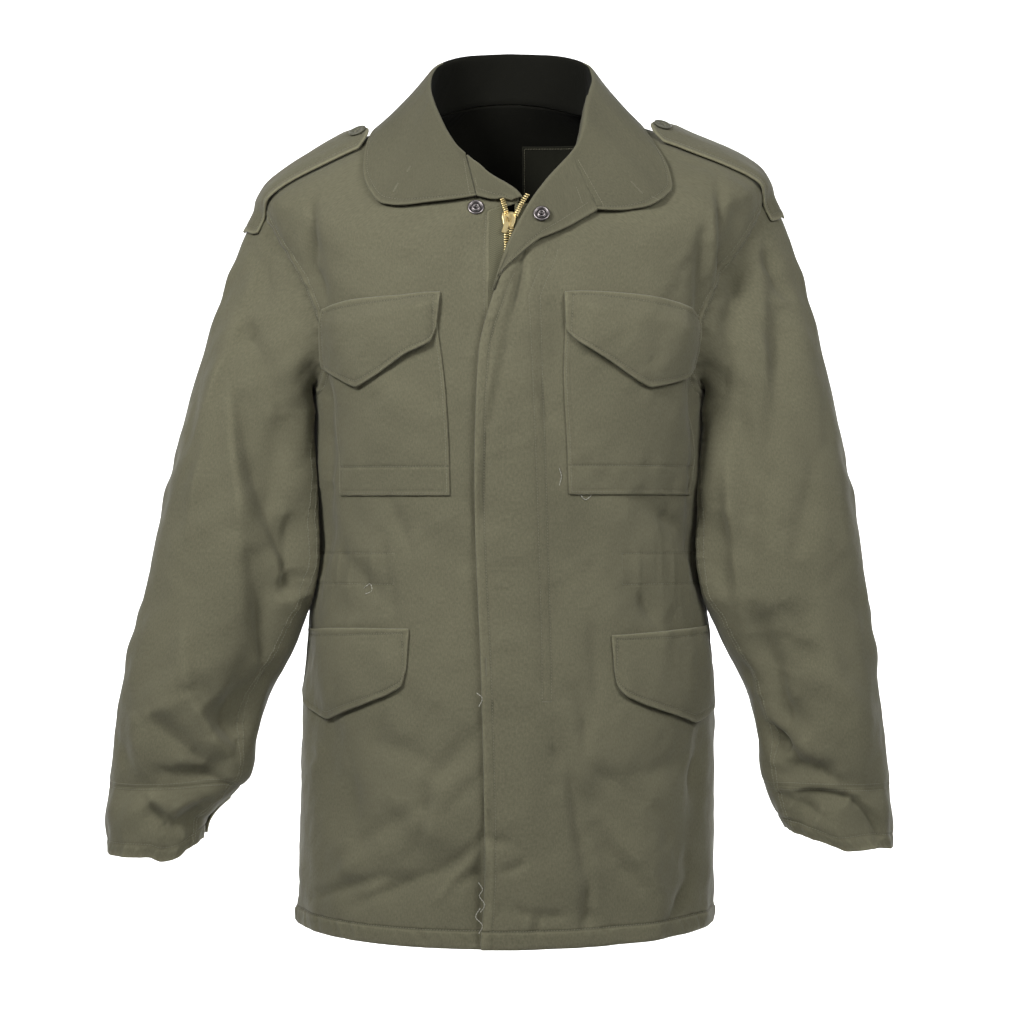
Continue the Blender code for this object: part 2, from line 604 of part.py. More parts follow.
# Round the neck from the wearer's right to the left: the ring angle of the seam, the rolled top of
# the collar, the ring angle, ring and lift of the edge of its fall, and how far the fall bulges.
COLLAR = Table(
    "w seam_angle x y z angle t lift bulge",
    (0.000, -0.524, -0.0352, -0.0830, -0.0345, -0.212, 0.9600, 0.0056, 0.0008),
    (0.046, -0.640, -0.0500, -0.0750, -0.0205, -0.332, 0.9430, 0.0056, 0.0015),
    (0.085, -0.800, -0.0572, -0.0640, -0.0070, -0.450, 0.9240, 0.0054, 0.0020),
    (0.144, -1.040, -0.0660, -0.0460, 0.0140, -0.545, 0.9080, 0.0050, 0.0015),
    (0.187, -1.247, -0.0705, -0.0300, 0.0275, -0.620, 0.9050, 0.0046, 0.0010),
    (0.234, -1.461, -0.0720, -0.0110, 0.0420, -0.844, 0.9200, 0.0042, 0.0000),
    (0.297, -1.733, -0.0680, 0.0130, 0.0580, -1.280, 0.9550, 0.0042, -0.0020),
    (0.343, -2.006, -0.0575, 0.0320, 0.0675, -1.640, 0.9660, 0.0042, -0.0030),
    (0.413, -2.442, -0.0360, 0.0560, 0.0765, -2.250, 0.9690, 0.0046, -0.0010),
    (0.497, -3.140, 0.0010, 0.0720, 0.0815, -3.140, 0.9720, 0.0050, 0.0010),
    (0.580, -3.744, 0.0390, 0.0600, 0.0780, -4.030, 0.9680, 0.0046, -0.0010),
    (0.647, -4.164, 0.0620, 0.0390, 0.0705, -4.600, 0.9680, 0.0042, -0.0030),
    (0.700, -4.481, 0.0750, 0.0180, 0.0610, -4.940, 0.9630, 0.0042, -0.0020),
    (0.767, -4.790, 0.0780, -0.0080, 0.0450, -5.200, 0.9420, 0.0042, 0.0000),
    (0.828, -5.060, 0.0735, -0.0320, 0.0260, -5.420, 0.9120, 0.0046, 0.0010),
    (0.850, -5.155, 0.0720, -0.0400, 0.0180, -5.500, 0.9030, 0.0048, 0.0015),
    (0.915, -5.230, 0.0690, -0.0600, -0.0040, -5.680, 0.8945, 0.0052, 0.0020),
    (0.971, -5.400, 0.0650, -0.0730, -0.0250, -5.800, 0.9020, 0.0056, 0.0015),
    (1.000, -5.523, 0.0625, -0.0790, -0.0370, -5.885, 0.9140, 0.0056, 0.0008),
)
NECK_CORNER_W = 0.850  # of COLLAR: from here its seam follows the wearer's left front's edge
GORGE_GAP = 0.0035  # in w, at each side of the seam between the collar and a turned corner

# The free edges of the turned corners by the share of the way along their rolls, from the
# collar's seam to the corner's end.
CORNER_EDGES = {
    "right": Table(
        "w angle t lift",
        (0.00, -0.212, 0.9600, 0.0056),
        (0.28, -0.120, 0.9600, 0.0052),
        (0.69, -0.040, 0.9640, 0.0050),
        (1.00, 0.012, 0.9610, 0.0046),
    ),
    "left": Table(
        "w angle t lift",
        (0.00, 0.398, 0.9140, 0.0056),
        (0.234, 0.245, 0.9030, 0.0056),
        (0.373, 0.152, 0.8930, 0.0056),
        (0.538, 0.056, 0.8720, 0.0054),
        (0.700, 0.012, 0.8430, 0.0052),
        (0.840, -0.024, 0.8020, 0.0050),
        (1.00, -0.050, 0.7600, 0.0048),
    ),
}
CORNER_END_T = 0.755  # ring where the wearer's left corner stops turning out


def rolled_sections(seam, roll, edge, bulge):
    """Sections of cloth that leaves a seam, rolls over and falls to an edge, one row of points for each."""
    to_seam, to_edge = unit(seam - roll), unit(edge - roll)
    crest = -unit(to_seam + to_edge)
    out = unit(to_edge - (to_edge * crest).sum(-1, keepdims=True) * crest)
    inner = roll - (crest + out) * ROLL_RADIUS
    outer = roll - (crest - out) * ROLL_RADIUS
    rows = [seam, (seam + inner) / 2, inner, roll, outer]
    for share in (0.25, 0.50, 0.75, 1.0):
        swell = out * np.asarray(bulge)[:, None] * 4 * share * (1 - share)
        rows.append(outer + (edge - outer) * share + swell)
    return np.stack(rows, axis=1)


def front_edge(side, t):
    """Ring angle of a front's free edge at ring t."""
    table = FRONT_EDGE_RIGHT if side < 0 else FRONT_EDGE_LEFT
    return angle_at(table.at("x", t), t)


def rolled_over(points, normals, sign):
    """Where cloth leaves a panel's edge, sewn along it, and where it rolls back over the panel."""
    off = unit(np.cross(np.gradient(points, axis=0), normals)) * sign
    seam = points + off * EDGE_CLEAR
    return seam, seam + off * ROLL_REACH + normals * ROLL_RISE


def neck_stations():
    """Stations of the collar, and the panel edge's points and normals there, one at each bend of it."""
    neck = np.linspace(GORGE_GAP, NECK_CORNER_W, 23)
    rows = np.array(YOKE_ROWS)
    front_t = rows[rows >= GORGE_LEFT[1]][::-1][1:]
    front_t = np.repeat(front_t, 2)
    front_t[::2] += (1.0 - GORGE_LEFT[1]) / 6
    front_t[-1] += (1.0 - GORGE_LEFT[1]) * GORGE_GAP * 2
    corner = front_edge(1, 1.0)
    angle = np.concatenate([COLLAR.at("seam_angle", neck[:-1]), [corner - 2 * math.pi]])
    points, normals = bare_torso(angle, 1.0), torso_normal(angle, 1.0)
    edge_points, edge_normals = straight_between_rows(1, front_t)
    share = (1.0 - front_t) / (1.0 - GORGE_LEFT[1])
    w = np.concatenate([neck, NECK_CORNER_W + (1 - NECK_CORNER_W) * share])
    return w, np.concatenate([points, edge_points]), np.concatenate([normals, edge_normals])


def straight_between_rows(side, t):
    """A front's free edge at ring t as its panel has it, straight from one row of the panel to the next."""
    rows = panel_rows()
    angle = front_edge(side, rows)
    lift = fly_lift(angle, rows) if side > 0 else 0.0
    points, normals = torso(angle, rows, lift), torso_normal(angle, rows)
    read = [np.interp(t, rows, column) for column in (*points.T, *normals.T)]
    return np.stack(read[:3], axis=-1), unit(np.stack(read[3:], axis=-1))


def collar_grid():
    w, line, normals = neck_stations()
    seam, rolled = rolled_over(line, normals, 1)
    own = np.stack([COLLAR.at(axis, w) for axis in "xyz"], axis=-1)
    share = (smooth(w / 0.07) * smooth((1 - w) / 0.07))[:, None]
    edge = torso(COLLAR.at("angle", w), COLLAR.at("t", w), COLLAR.at("lift", w))
    return rolled_sections(seam, rolled * (1 - share) + own * share, edge, COLLAR.at("bulge", w))


def corner_grid(name, side):
    rows = np.array(panel_rows())
    if side < 0:
        t = np.array([row for row in YOKE_ROWS if row >= 0.963])[::-1]
        neck_x = np.linspace(GORGE_RIGHT[0] + 0.0012, FRONT_EDGE_RIGHT.at("x", 1.0), 3)[:-1]
        angle = angle_at(neck_x, 1.0)
        points, normals = bare_torso(angle, 1.0), torso_normal(angle, 1.0)
        edge_points, edge_normals = straight_between_rows(side, t)
        points, normals = np.concatenate([points, edge_points]), np.concatenate([normals, edge_normals])
    else:
        t = rows[(rows > CORNER_END_T) & (rows < GORGE_LEFT[1])][::-1]
        t = np.concatenate([[GORGE_LEFT[1] - 0.0002], t])
        points, normals = straight_between_rows(side, t)
    length = np.concatenate([[0], np.cumsum(np.linalg.norm(np.diff(points, axis=0), axis=1))])
    w = length / length[-1] + GORGE_GAP * (1 - length / length[-1])
    seam, roll = rolled_over(points, normals, side)
    table = CORNER_EDGES[name]
    edge_angle, edge_t = table.at("angle", w), table.at("t", w)
    on_fly = fly_lift(edge_angle, edge_t) if side > 0 else 0.0
    edge = torso(edge_angle, edge_t, table.at("lift", w) + on_fly)
    return rolled_sections(seam, roll, edge, 0.0008 + 0 * w)


def make_neck(maker):
    """The collar and the turned corners. Where two of them meet, both walls stand the same way."""
    right, collar, left = corner_grid("right", -1), collar_grid(), corner_grid("left", 1)
    right_normals, collar_normals, left_normals = (grid_normals(points) for points in (right, collar, left))
    for corner, place in ((right_normals, 0), (left_normals, -1)):
        turn = np.sign((corner[0] * collar_normals[place]).sum())
        corner *= turn
        corner[0] = collar_normals[place] = unit(corner[0] + collar_normals[place])
    maker.wall("collar", collar, collar_normals, DOUBLE)
    maker.wall("lapel_right", right, right_normals, DOUBLE)
    maker.wall("lapel_left", left, left_normals, DOUBLE)


# ------------------------------------------------------------------ shoulder loops
# The middle line of a loop from the neck outwards: ring, how far in front of the shoulder seam
# and lift. Past the shoulder the loop turns down over the top of the sleeve.
LOOP_WIDTH = 0.042
LOOP = Table(
    "share t forward lift tilt",
    (0.00, 0.9550, 0.0240, 0.0085, 0.20),
    (0.35, 0.9200, 0.0240, 0.0075, 0.17),
    (0.75, 0.8850, 0.0220, 0.0065, 0.12),
    (1.00, 0.8640, 0.0180, 0.0060, 0.06),
)
LOOP_POINT = 0.016  # how much further from the neck, in t, the corners of a loop's inner end lie
LOOP_TURN_DOWN = ((0.010, -0.008), (0.018, -0.026))  # out and down from the loop's last point on the body
BUTTON_RADIUS, BUTTON_THICKNESS = 0.0085, 0.0026


def on_shoulder(side, t, forward, lift):
    """A point beside the shoulder seam: forward is the depth in front of it."""
    share = np.abs(forward) / TORSO.at("front", t)
    off = np.arcsin(np.clip(share, 0, 1) ** (1 / squareness(t))) * np.sign(forward)
    angle = side * (SIDE - off)
    return torso(angle, t, lift), torso_normal(angle, t)


def loop_grid(name, side, rows=7, columns=5):
    """A loop's middle points. Its back edge stands higher than its front edge."""
    share = np.linspace(0, 1, rows)[:, None]
    across = np.linspace(-0.5, 0.5, columns)[None, :] * LOOP_WIDTH
    corner = LOOP_POINT * (2 * across / LOOP_WIDTH) ** 2 * (1 - share) ** 2
    t = LOOP.at("t", share) - corner
    forward = LOOP.at("forward", share) + across
    lift = LOOP.at("lift", share) - LOOP.at("tilt", share) * across
    points, _ = on_shoulder(side, t, forward, lift)
    points = np.concatenate([points, turned_down(name, side, points[-1])])
    return points, grid_normals(points) * -side


def turned_down(name, side, last):
    """The rows of a loop that lie on the top of its sleeve, past its last row on the body."""
    cap, normals = sleeve_grid(name, side, [SLEEVE_TOP_Z, CUFF_Z], cap_rows=50, columns=120)
    cap, normals = cap[1:-2].reshape(-1, 3), normals[1:-2].reshape(-1, 3)
    rows = []
    for out, down in LOOP_TURN_DOWN:
        aim = last + np.array([side * out, 0, down])
        near = np.argmin(np.linalg.norm(aim[:, None] - cap[None], axis=-1), axis=1)
        rows.append(cap[near] + normals[near] * (SLEEVE_CLOTH / 2 + LIE_GAP * 1.5 + DOUBLE / 2))
    return rows


def make_loops(maker):
    for side, name in ((-1, "right"), (1, "left")):
        points, normals = loop_grid(name, side)
        maker.wall(f"shoulder_loop_{name}", points, normals, DOUBLE)
        middle = points.shape[1] // 2
        place = points[0, middle] * 0.55 + points[1, middle] * 0.45
        normal = unit(normals[0, middle] + normals[1, middle])
        if normal[2] < 0:
            normal = -normal
        centre = place + normal * (DOUBLE / 2 + 0.0006 + BUTTON_THICKNESS / 2)
        maker.disc(f"shoulder_button_{name}", centre, normal, BUTTON_RADIUS, BUTTON_THICKNESS, "button")


# ------------------------------------------------------------------ cuff tabs
TAB_Z, TAB_WIDTH = -0.634, 0.032
# From each tab's free end, on the body's side, round to its seam at the back.
TAB_TURNS = {"right": (-0.35, -1.75), "left": (-0.95, -2.35)}


def make_cuff_tabs(maker, columns=9, rows=4):
    for side, name, table in ((-1, "right", SLEEVE_RIGHT), (1, "left", SLEEVE_LEFT)):
        share = np.linspace(0, 1, columns)
        free, sewn = TAB_TURNS[name]
        turn = free + (sewn - free) * share
        heights = TAB_Z + np.linspace(-0.5, 0.5, rows) * TAB_WIDTH
        points = np.array([sleeve_section(table, turn, np.full(columns, z), side) for z in heights])
        normals = grid_normals(points)
        away = points - np.array([side * table.at("x", TAB_Z), table.at("y", TAB_Z), 0]) * (1, 1, 0)
        normals *= np.sign((normals[..., :2] * away[..., :2]).sum())
        stand = 0.0012 * smooth((0.35 - share) / 0.35)
        lift = SLEEVE_CLOTH / 2 + LIE_GAP + 0.0006 + DOUBLE / 2 + stand
        maker.wall(f"cuff_tab_{name}", points + normals * lift[:, None], normals, DOUBLE)


# ------------------------------------------------------------------ zip, snaps and neck patch
ZIP_X = 0.0010  # the line where the teeth meet
TAPE_TOP_Z, TAPE_FOOT_Z = -0.0930, -0.6950
SLIDER_TOP_Z, SLIDER_HEIGHT, SLIDER_WIDTH, SLIDER_DEPTH = -0.0875, 0.0160, 0.0130, 0.0025
SLIDER_STANDS = 0.0011  # from the form to the slider's back
SLIDER_ROUNDING = 0.0009
# Half of the slider's outline, as shares of its width and height: foot, waist, shoulder and head.
SLIDER_OUTLINE = ((0.32, -0.50), (0.42, -0.20), (0.50, 0.20), (0.46, 0.42), (0.22, 0.50))
# Of the arch on the slider: how far it stands out, its bar, half its length, how far its feet are
# sunk into the slider and how far it stands above the slider's middle.
BRIDGE_REACH, BRIDGE_BAR, BRIDGE_HALF, BRIDGE_SINK, BRIDGE_UP = 0.0036, 0.0014, 0.0042, 0.0004, 0.0012
PULL_LENGTH, PULL_WIDTH, PULL_THICK, PULL_LEAN = 0.0165, 0.0054, 0.0011, math.radians(16)
# Half of the pull's outline from its top, as shares of half its width and of its length, and its eye.
PULL_OUTLINE = ((0.86, 0.0), (1.0, 0.30), (0.75, 0.75), (0.85, 0.96), (0.5, 1.0))
PULL_BAR, PULL_EYE_HALF, PULL_EYE_FOOT = 0.0007, 0.0018, 0.0052
SNAP_RADIUS, SNAP_THICKNESS = 0.0072, 0.0022
SNAP_CLEAR = 0.0004
SNAP_RIGHT, SNAP_LEFT = (-0.0285, -0.0835), (0.0300, -0.0945)  # x and height of their middles
NECK_PATCH = (0.016, 0.078, -0.050, -0.002)  # from and to in x, then in height


def front_at(x, z, lift):
    """A place on the front, by x and height."""
    x, z = np.broadcast_arrays(np.asarray(x, float), np.asarray(z, float))
    t = np.full(x.shape, 0.5)
    for _ in range(40):
        t = t_at(angle_at(x, t), z)
    angle = angle_at(x, t)
    return torso(angle, t, lift), torso_normal(angle, t)


def make_zip_tapes(maker, rows=25):
    z = np.linspace(TAPE_FOOT_Z, TAPE_TOP_Z, rows)[:, None]
    part = 0.0030 * smooth((z + 0.104) / 0.012)  # the open top of the zip spreads
    edges = {
        "right": (-0.0166 + 0 * z, ZIP_X - 0.0024 - part),
        "left": (ZIP_X + 0.0024 + part, ZIP_X + 0.0170 + 0 * z),
    }
    for side, (start, end) in edges.items():
        x = start + (end - start) * np.linspace(0, 1, 3)[None, :]
        points, normals = front_at(x, z + 0 * x, 0.0)
        maker.wall(f"zip_tape_{side}", points, normals, TAPE, "tape")


def zip_frame():
    """Where the slider stands: its place, the way along the zip, the way out and the way across."""
    place, out = front_at(ZIP_X, SLIDER_TOP_Z - SLIDER_HEIGHT / 2, 0.0)
    across = Vector((1, 0, 0))
    out = Vector(out).normalized()
    across = (across - out * across.dot(out)).normalized()
    up = out.cross(across)
    if up.z < 0:
        up = -up
    return Vector(place), up, out, across


def frame_matrix(place, across, out, up):
    matrix = Matrix((across, out, up)).transposed().to_4x4()
    matrix.translation = place
    return matrix


def extrude(bm, outline, move):
    """Adds a prism: a flat face round the outline and the same face moved, with its sides."""
    face = bm.faces.new([bm.verts.new(point) for point in outline])
    raised = bmesh.ops.extrude_face_region(bm, geom=[face])["geom"]
    corners = [item for item in raised if isinstance(item, bmesh.types.BMVert)]
    bmesh.ops.translate(bm, verts=corners, vec=move)


def make_zip_slider(maker):
    """The slider's body, and the arch of square bar on it that the pull tab swings on."""
    place, up, out, across = zip_frame()
    half_deep = SLIDER_DEPTH / 2
    half = np.array(SLIDER_OUTLINE)
    outline = np.concatenate([half, half[::-1] * (-1, 1)]) * (SLIDER_WIDTH, SLIDER_HEIGHT)
    bm = bmesh.new()
    extrude(bm, [(x, -half_deep, z) for x, z in outline], (0, SLIDER_DEPTH, 0))
    rim = [edge for edge in bm.edges if all(vert.co.y > 0 for vert in edge.verts)]
    bmesh.ops.bevel(bm, geom=rim, offset=SLIDER_ROUNDING, segments=2, profile=0.5, affect="EDGES")
    bmesh.ops.recalc_face_normals(bm, faces=bm.faces[:])
    centre = place + out * (SLIDER_STANDS + half_deep)
    bmesh.ops.transform(bm, matrix=frame_matrix(centre, across, out, up), verts=bm.verts[:])
    body = maker.add("zip_slider", bm, "brass")
    bar, shoulder = BRIDGE_BAR, BRIDGE_REACH * 0.62
    rising = [(BRIDGE_HALF, -BRIDGE_SINK), (BRIDGE_HALF, shoulder), (BRIDGE_HALF * 0.62, BRIDGE_REACH)]
    inside = [
        (BRIDGE_HALF - bar, -BRIDGE_SINK),
        (BRIDGE_HALF - bar, shoulder - bar / 2),
        (BRIDGE_HALF * 0.4, BRIDGE_REACH - bar),
    ]
    arch = [(-along, out_by) for along, out_by in rising] + rising[::-1]
    arch += inside + [(-along, out_by) for along, out_by in inside[::-1]]
    bm = bmesh.new()
    extrude(bm, [(-bar / 2, out_by, along) for along, out_by in arch], (bar, 0, 0))
    bmesh.ops.recalc_face_normals(bm, faces=bm.faces[:])
    bridge_place = place + out * (SLIDER_STANDS + SLIDER_DEPTH) + up * BRIDGE_UP
    bmesh.ops.transform(bm, matrix=frame_matrix(bridge_place, across, out, up), verts=bm.verts[:])
    bridge = maker.add("zip_bridge", bm, "brass")
    maker.join(body, bridge)


def pull_frame():
    """The pull's pivot, the way it hangs, its axis and the way out of the front."""
    place, up, out, across = zip_frame()
    pivot = place + up * BRIDGE_UP + out * (SLIDER_STANDS + SLIDER_DEPTH + (BRIDGE_REACH - BRIDGE_BAR) / 2)
    hang = (-up * math.cos(PULL_LEAN) - across * math.sin(PULL_LEAN)).normalized()
    axis = hang.cross(out).normalized()
    return pivot, hang, axis, out


def make_zip_pull(maker):
    """A flat tab with an eye at its top, its top bar lying through the slider's bridge."""
    pivot, hang, axis, out = pull_frame()
    half = np.array(PULL_OUTLINE) * (PULL_WIDTH / 2, PULL_LENGTH)
    half[0, 1] = -PULL_BAR
    outline = np.concatenate([half * (-1, 1), half[::-1]])
    hole = [(x, y) for x, y in ((-1, PULL_BAR), (1, PULL_BAR), (1, PULL_EYE_FOOT), (-1, PULL_EYE_FOOT))]
    hole = np.array(hole) * (PULL_EYE_HALF, 1)
    curve = bpy.data.curves.new("zip_pull_outline", "CURVE")
    curve.dimensions = "2D"
    curve.fill_mode = "BOTH"
    curve.extrude = PULL_THICK / 2
    for ring in (outline, hole):
        spline = curve.splines.new("POLY")
        spline.points.add(len(ring) - 1)
        spline.use_cyclic_u = True
        for point, (x, y) in zip(spline.points, ring):
            point.co = (x, -y, 0, 1)
    flat = bpy.data.objects.new("zip_pull_flat", curve)
    maker.collection.objects.link(flat)
    graph = bpy.context.evaluated_depsgraph_get()
    mesh = bpy.data.meshes.new_from_object(flat.evaluated_get(graph))
    bpy.data.objects.remove(flat, do_unlink=True)
    bm = bmesh.new()
    bm.from_mesh(mesh)
    bpy.data.meshes.remove(mesh)
    bmesh.ops.remove_doubles(bm, verts=bm.verts[:], dist=1e-6)
    bmesh.ops.recalc_face_normals(bm, faces=bm.faces[:])
    bmesh.ops.transform(bm, matrix=frame_matrix(pivot, axis, -hang, out), verts=bm.verts[:])
    maker.add("zip_pull", bm, "brass")


def make_snaps(maker):
    """The neck's two snap halves, one on the right front and one on the left front's turned corner."""
    place, normal = front_at(*SNAP_RIGHT, 0.0)
    snap_on(maker, "snap_right", place, normal, CLOTH / 2)
    corner = np.array([vertex.co for vertex in bpy.data.objects["lapel_left"].data.vertices])
    place, normal = front_at(*SNAP_LEFT, 0.0)
    beneath = np.linalg.norm((corner - place)[:, [0, 2]], axis=1) < SNAP_RADIUS * 1.3
    snap_on(maker, "snap_left", place, normal, ((corner[beneath] - place) @ normal).max())


def snap_on(maker, name, place, normal, stand):
    middle = place + normal * (stand + SNAP_CLEAR + SNAP_THICKNESS / 2)
    maker.disc(name, middle, normal, SNAP_RADIUS, SNAP_THICKNESS, "gunmetal")


def make_neck_patch(maker, columns=5, rows=4):
    x0, x1, z0, z1 = NECK_PATCH
    x = np.linspace(x0, x1, columns)[None, :] + np.zeros((rows, 1))
    z = np.linspace(z0, z1, rows)[:, None] + 0 * x
    t = np.full(x.shape, 0.93)
    for _ in range(30):
        angle = math.pi - angle_at(x, t)
        t = t_at(angle, z)
    lift = -(CLOTH / 2 + 2 * LIE_GAP + 0.0005)
    maker.wall("neck_patch", torso(angle, t, lift), torso_normal(angle, t), 0.0010, "patch")


def main():
    maker = Maker(clear_scene())
    make_fronts(maker)
    make_back(maker)
    make_sleeves(maker)
    make_neck(maker)
    make_pockets(maker)
    make_loops(maker)
    make_cuff_tabs(maker)
    make_zip_tapes(maker)
    make_zip_slider(maker)
    make_zip_pull(maker)
    make_snaps(maker)
    make_neck_patch(maker)


if __name__ == "__main__":
    main()
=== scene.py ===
"""Field jacket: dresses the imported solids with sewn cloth, zip, snaps, buttons and stitching, on a stage.

Run as a script. Lengths are metres. +Z is up, -Y is the garment's front, +X is the wearer's left.
"""

import json
import math
from functools import partial

import bpy
import numpy as np
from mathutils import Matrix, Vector


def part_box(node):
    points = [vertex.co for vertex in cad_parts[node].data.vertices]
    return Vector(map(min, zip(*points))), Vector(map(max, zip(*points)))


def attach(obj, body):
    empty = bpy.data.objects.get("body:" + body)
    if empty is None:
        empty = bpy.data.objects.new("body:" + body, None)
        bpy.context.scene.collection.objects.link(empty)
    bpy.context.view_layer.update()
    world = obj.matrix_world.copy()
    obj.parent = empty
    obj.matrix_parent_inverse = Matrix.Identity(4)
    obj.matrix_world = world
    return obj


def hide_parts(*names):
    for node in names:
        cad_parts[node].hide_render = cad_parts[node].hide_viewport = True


bl_info = {
    "name": "Field jacket",
    "version": (1, 0, 0),
    "blender": (4, 5, 0),
    "location": "3D View > Sidebar > Field jacket",
    "description": "Sewn cloth, creases, zip, snaps, buttons and stitching for the packed field jacket",
    "category": "Object",
}

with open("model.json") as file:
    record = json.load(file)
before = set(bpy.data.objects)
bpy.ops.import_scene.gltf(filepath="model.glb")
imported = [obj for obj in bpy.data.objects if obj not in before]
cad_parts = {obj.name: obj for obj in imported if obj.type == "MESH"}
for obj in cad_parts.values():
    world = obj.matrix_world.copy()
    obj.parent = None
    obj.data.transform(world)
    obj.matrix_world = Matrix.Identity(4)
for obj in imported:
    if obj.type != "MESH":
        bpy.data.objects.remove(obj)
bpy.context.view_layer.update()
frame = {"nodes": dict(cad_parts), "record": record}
SLOT_COLOUR = {row["slot"]: tuple(row["base_color"]) for row in frame["record"]["materials"]}

# ---- the jacket's form
CLOTH, SLEEVE_CLOTH, DOUBLE = 0.0018, 0.0018, 0.0022
SEAM_GAP = 0.0001
SIDE = math.pi / 2
SIDES = ((-1, "right"), (1, "left"))
ARMPIT_T, SHOULDER_TIP_T = 0.575, 0.86
ARMHOLE_DIP_FRONT, ARMHOLE_DIP_BACK = 0.5, 0.3
CUFF_Z = -0.603
FLY_LIFT = 0.0056
FOLD_RADIUS, SLEEVE_FOLD_RADIUS = 0.16, 0.065


class Table:
    """Rows of numbers under named columns. at() reads one column as a smooth function of the first."""

    def __init__(self, text):
        names, *rows = text.strip().splitlines()
        self.columns = names.split()
        self.values = np.array([[float(part) for part in row.split()] for row in rows])

    def column(self, name):
        return self.values[:, self.columns.index(name)]

    def at(self, name, where):
        return curve_through(self.values[:, 0], self.column(name), where)

    def straight(self, name, where):
        return np.interp(where, self.values[:, 0], self.column(name))


def smooth(x):
    x = np.clip(x, 0.0, 1.0)
    return x * x * (3.0 - 2.0 * x)


def curve_through(stops, values, at):
    """A smooth curve through (stops, values) that doesn't overshoot between them."""
    step = np.diff(stops)
    slope = np.diff(values) / step
    tangent = np.zeros(len(stops))
    same = slope[:-1] * slope[1:] > 0
    before, after = 2 * step[1:] + step[:-1], step[1:] + 2 * step[:-1]
    spread = before / np.where(same, slope[:-1], 1) + after / np.where(same, slope[1:], 1)
    tangent[1:-1] = np.where(same, (before + after) / spread, 0)
    tangent[0], tangent[-1] = slope[0], slope[-1]
    at = np.clip(np.asarray(at, float), stops[0], stops[-1])
    i = np.clip(np.searchsorted(stops, at, side="right") - 1, 0, len(step) - 1)
    s = (at - stops[i]) / step[i]
    ease = s * s * (3 - 2 * s)
    lean = step[i] * s * (1 - s) * (tangent[i] * (1 - s) - tangent[i + 1] * s)
    return values[i] * (1 - ease) + values[i + 1] * ease + lean


def unit(vectors):
    return vectors / np.maximum(np.linalg.norm(vectors, axis=-1, keepdims=True), 1e-12)


# Rings from hem to neck: half width, front and back depth, heights at front, side and back.
TORSO = Table("""t half front back z_front z_side z_back vee lean slope
    0 0.1915 0.15 0.137 -0.738 -0.731 -0.739 2 -0.0025 0
    0.1 0.191 0.148 0.137 -0.65 -0.65 -0.65 2 -0.001 0
    0.21 0.1895 0.1445 0.134 -0.545 -0.545 -0.545 2 0 0
    0.29 0.186 0.14 0.129 -0.475 -0.475 -0.475 2 0 0
    0.355 0.1825 0.137 0.125 -0.42 -0.42 -0.42 2 0 0
    0.45 0.181 0.139 0.127 -0.34 -0.34 -0.34 2 0.001 0
    0.575 0.182 0.142 0.133 -0.254 -0.25 -0.245 2 0.002 0
    0.68 0.195 0.1375 0.133 -0.196 -0.187 -0.18 2 0.003 0
    0.78 0.214 0.129 0.128 -0.153 -0.125 -0.118 1.9 0.005 0.001
    0.86 0.232 0.119 0.118 -0.124 -0.063 -0.066 1.8 0.006 0.007
    0.93 0.16 0.106 0.098 -0.094 -0.016 -0.008 1.8 0.003 0.0035
    1 0.077 0.088 0.072 -0.057 0.014 0.033 1.8 0 0.001
""")
# The largest folds: u is ring angle times 0.16 m, z is height.
BODY_FOLDS = Table("""u0 z0 u1 z1 width depth
    -0.152 -0.075 -0.154 -0.15 0.018 -0.005
    0.166 -0.075 0.172 -0.16 0.018 -0.006
    -0.215 -0.47 -0.12 -0.64 0.03 -0.006
    -0.09 -0.69 -0.02 -0.655 0.022 -0.006
    0.06 -0.6 0.082 -0.735 0.02 -0.006
    0.18 -0.56 0.15 -0.72 0.028 -0.006
    0.33 -0.43 0.42 -0.64 0.032 -0.007
    -0.34 -0.4 -0.43 -0.66 0.034 -0.007
    0.4 -0.12 0.42 -0.3 0.026 -0.006
    -0.4 -0.13 -0.425 -0.29 0.026 -0.006
    -0.5 -0.42 -0.47 -0.56 0.03 0.006
""")


def squareness(t):
    return 0.86 + 0.08 * smooth((t - 0.8) / 0.2)


def bare_torso(angle, t):
    """The torso's form without folds, at a ring t and a ring angle: 0 in front, + to the wearer's left."""
    angle, t = np.broadcast_arrays(np.asarray(angle, float), np.asarray(t, float))
    read = {name: TORSO.at(name, t) for name in TORSO.columns[1:]}
    sine, cosine = np.sin(angle), np.cos(angle)
    before = cosine > 0
    power = squareness(t)
    x = read["lean"] + read["half"] * np.sign(sine) * np.abs(sine) ** power
    y = np.where(before, -read["front"], read["back"]) * np.abs(cosine) ** power
    middle = np.where(before, read["z_front"], read["z_back"])
    z = middle + (read["z_side"] - middle) * np.abs(sine) ** np.where(before, read["vee"], 2.0)
    z = z + read["slope"] * sine * np.abs(sine)
    return np.stack([x, y, z], axis=-1)


def torso_normal(angle, t, step=2e-3):
    around = bare_torso(angle + step, t) - bare_torso(angle - step, t)
    up = bare_torso(angle, np.clip(t + step, 0, 1)) - bare_torso(angle, np.clip(t - step, 0, 1))
    return unit(np.cross(around, up))


def folded(u, v, folds):
    """How far the folds of a table move a point at (u, v) out of its form."""
    moved = np.zeros(np.broadcast(u, v).shape)
    for u0, v0, u1, v1, width, depth in folds.values:
        length = math.hypot(u1 - u0, v1 - v0)
        along = ((u - u0) * (u1 - u0) + (v - v0) * (v1 - v0)) / length**2
        off = ((v - v0) * (u1 - u0) - (u - u0) * (v1 - v0)) / length
        end = np.maximum(0.0, np.abs(along - 0.5) - 0.35) / 0.22
        moved = moved + depth * np.exp(-((off / width) ** 2) - end**2)
    return moved


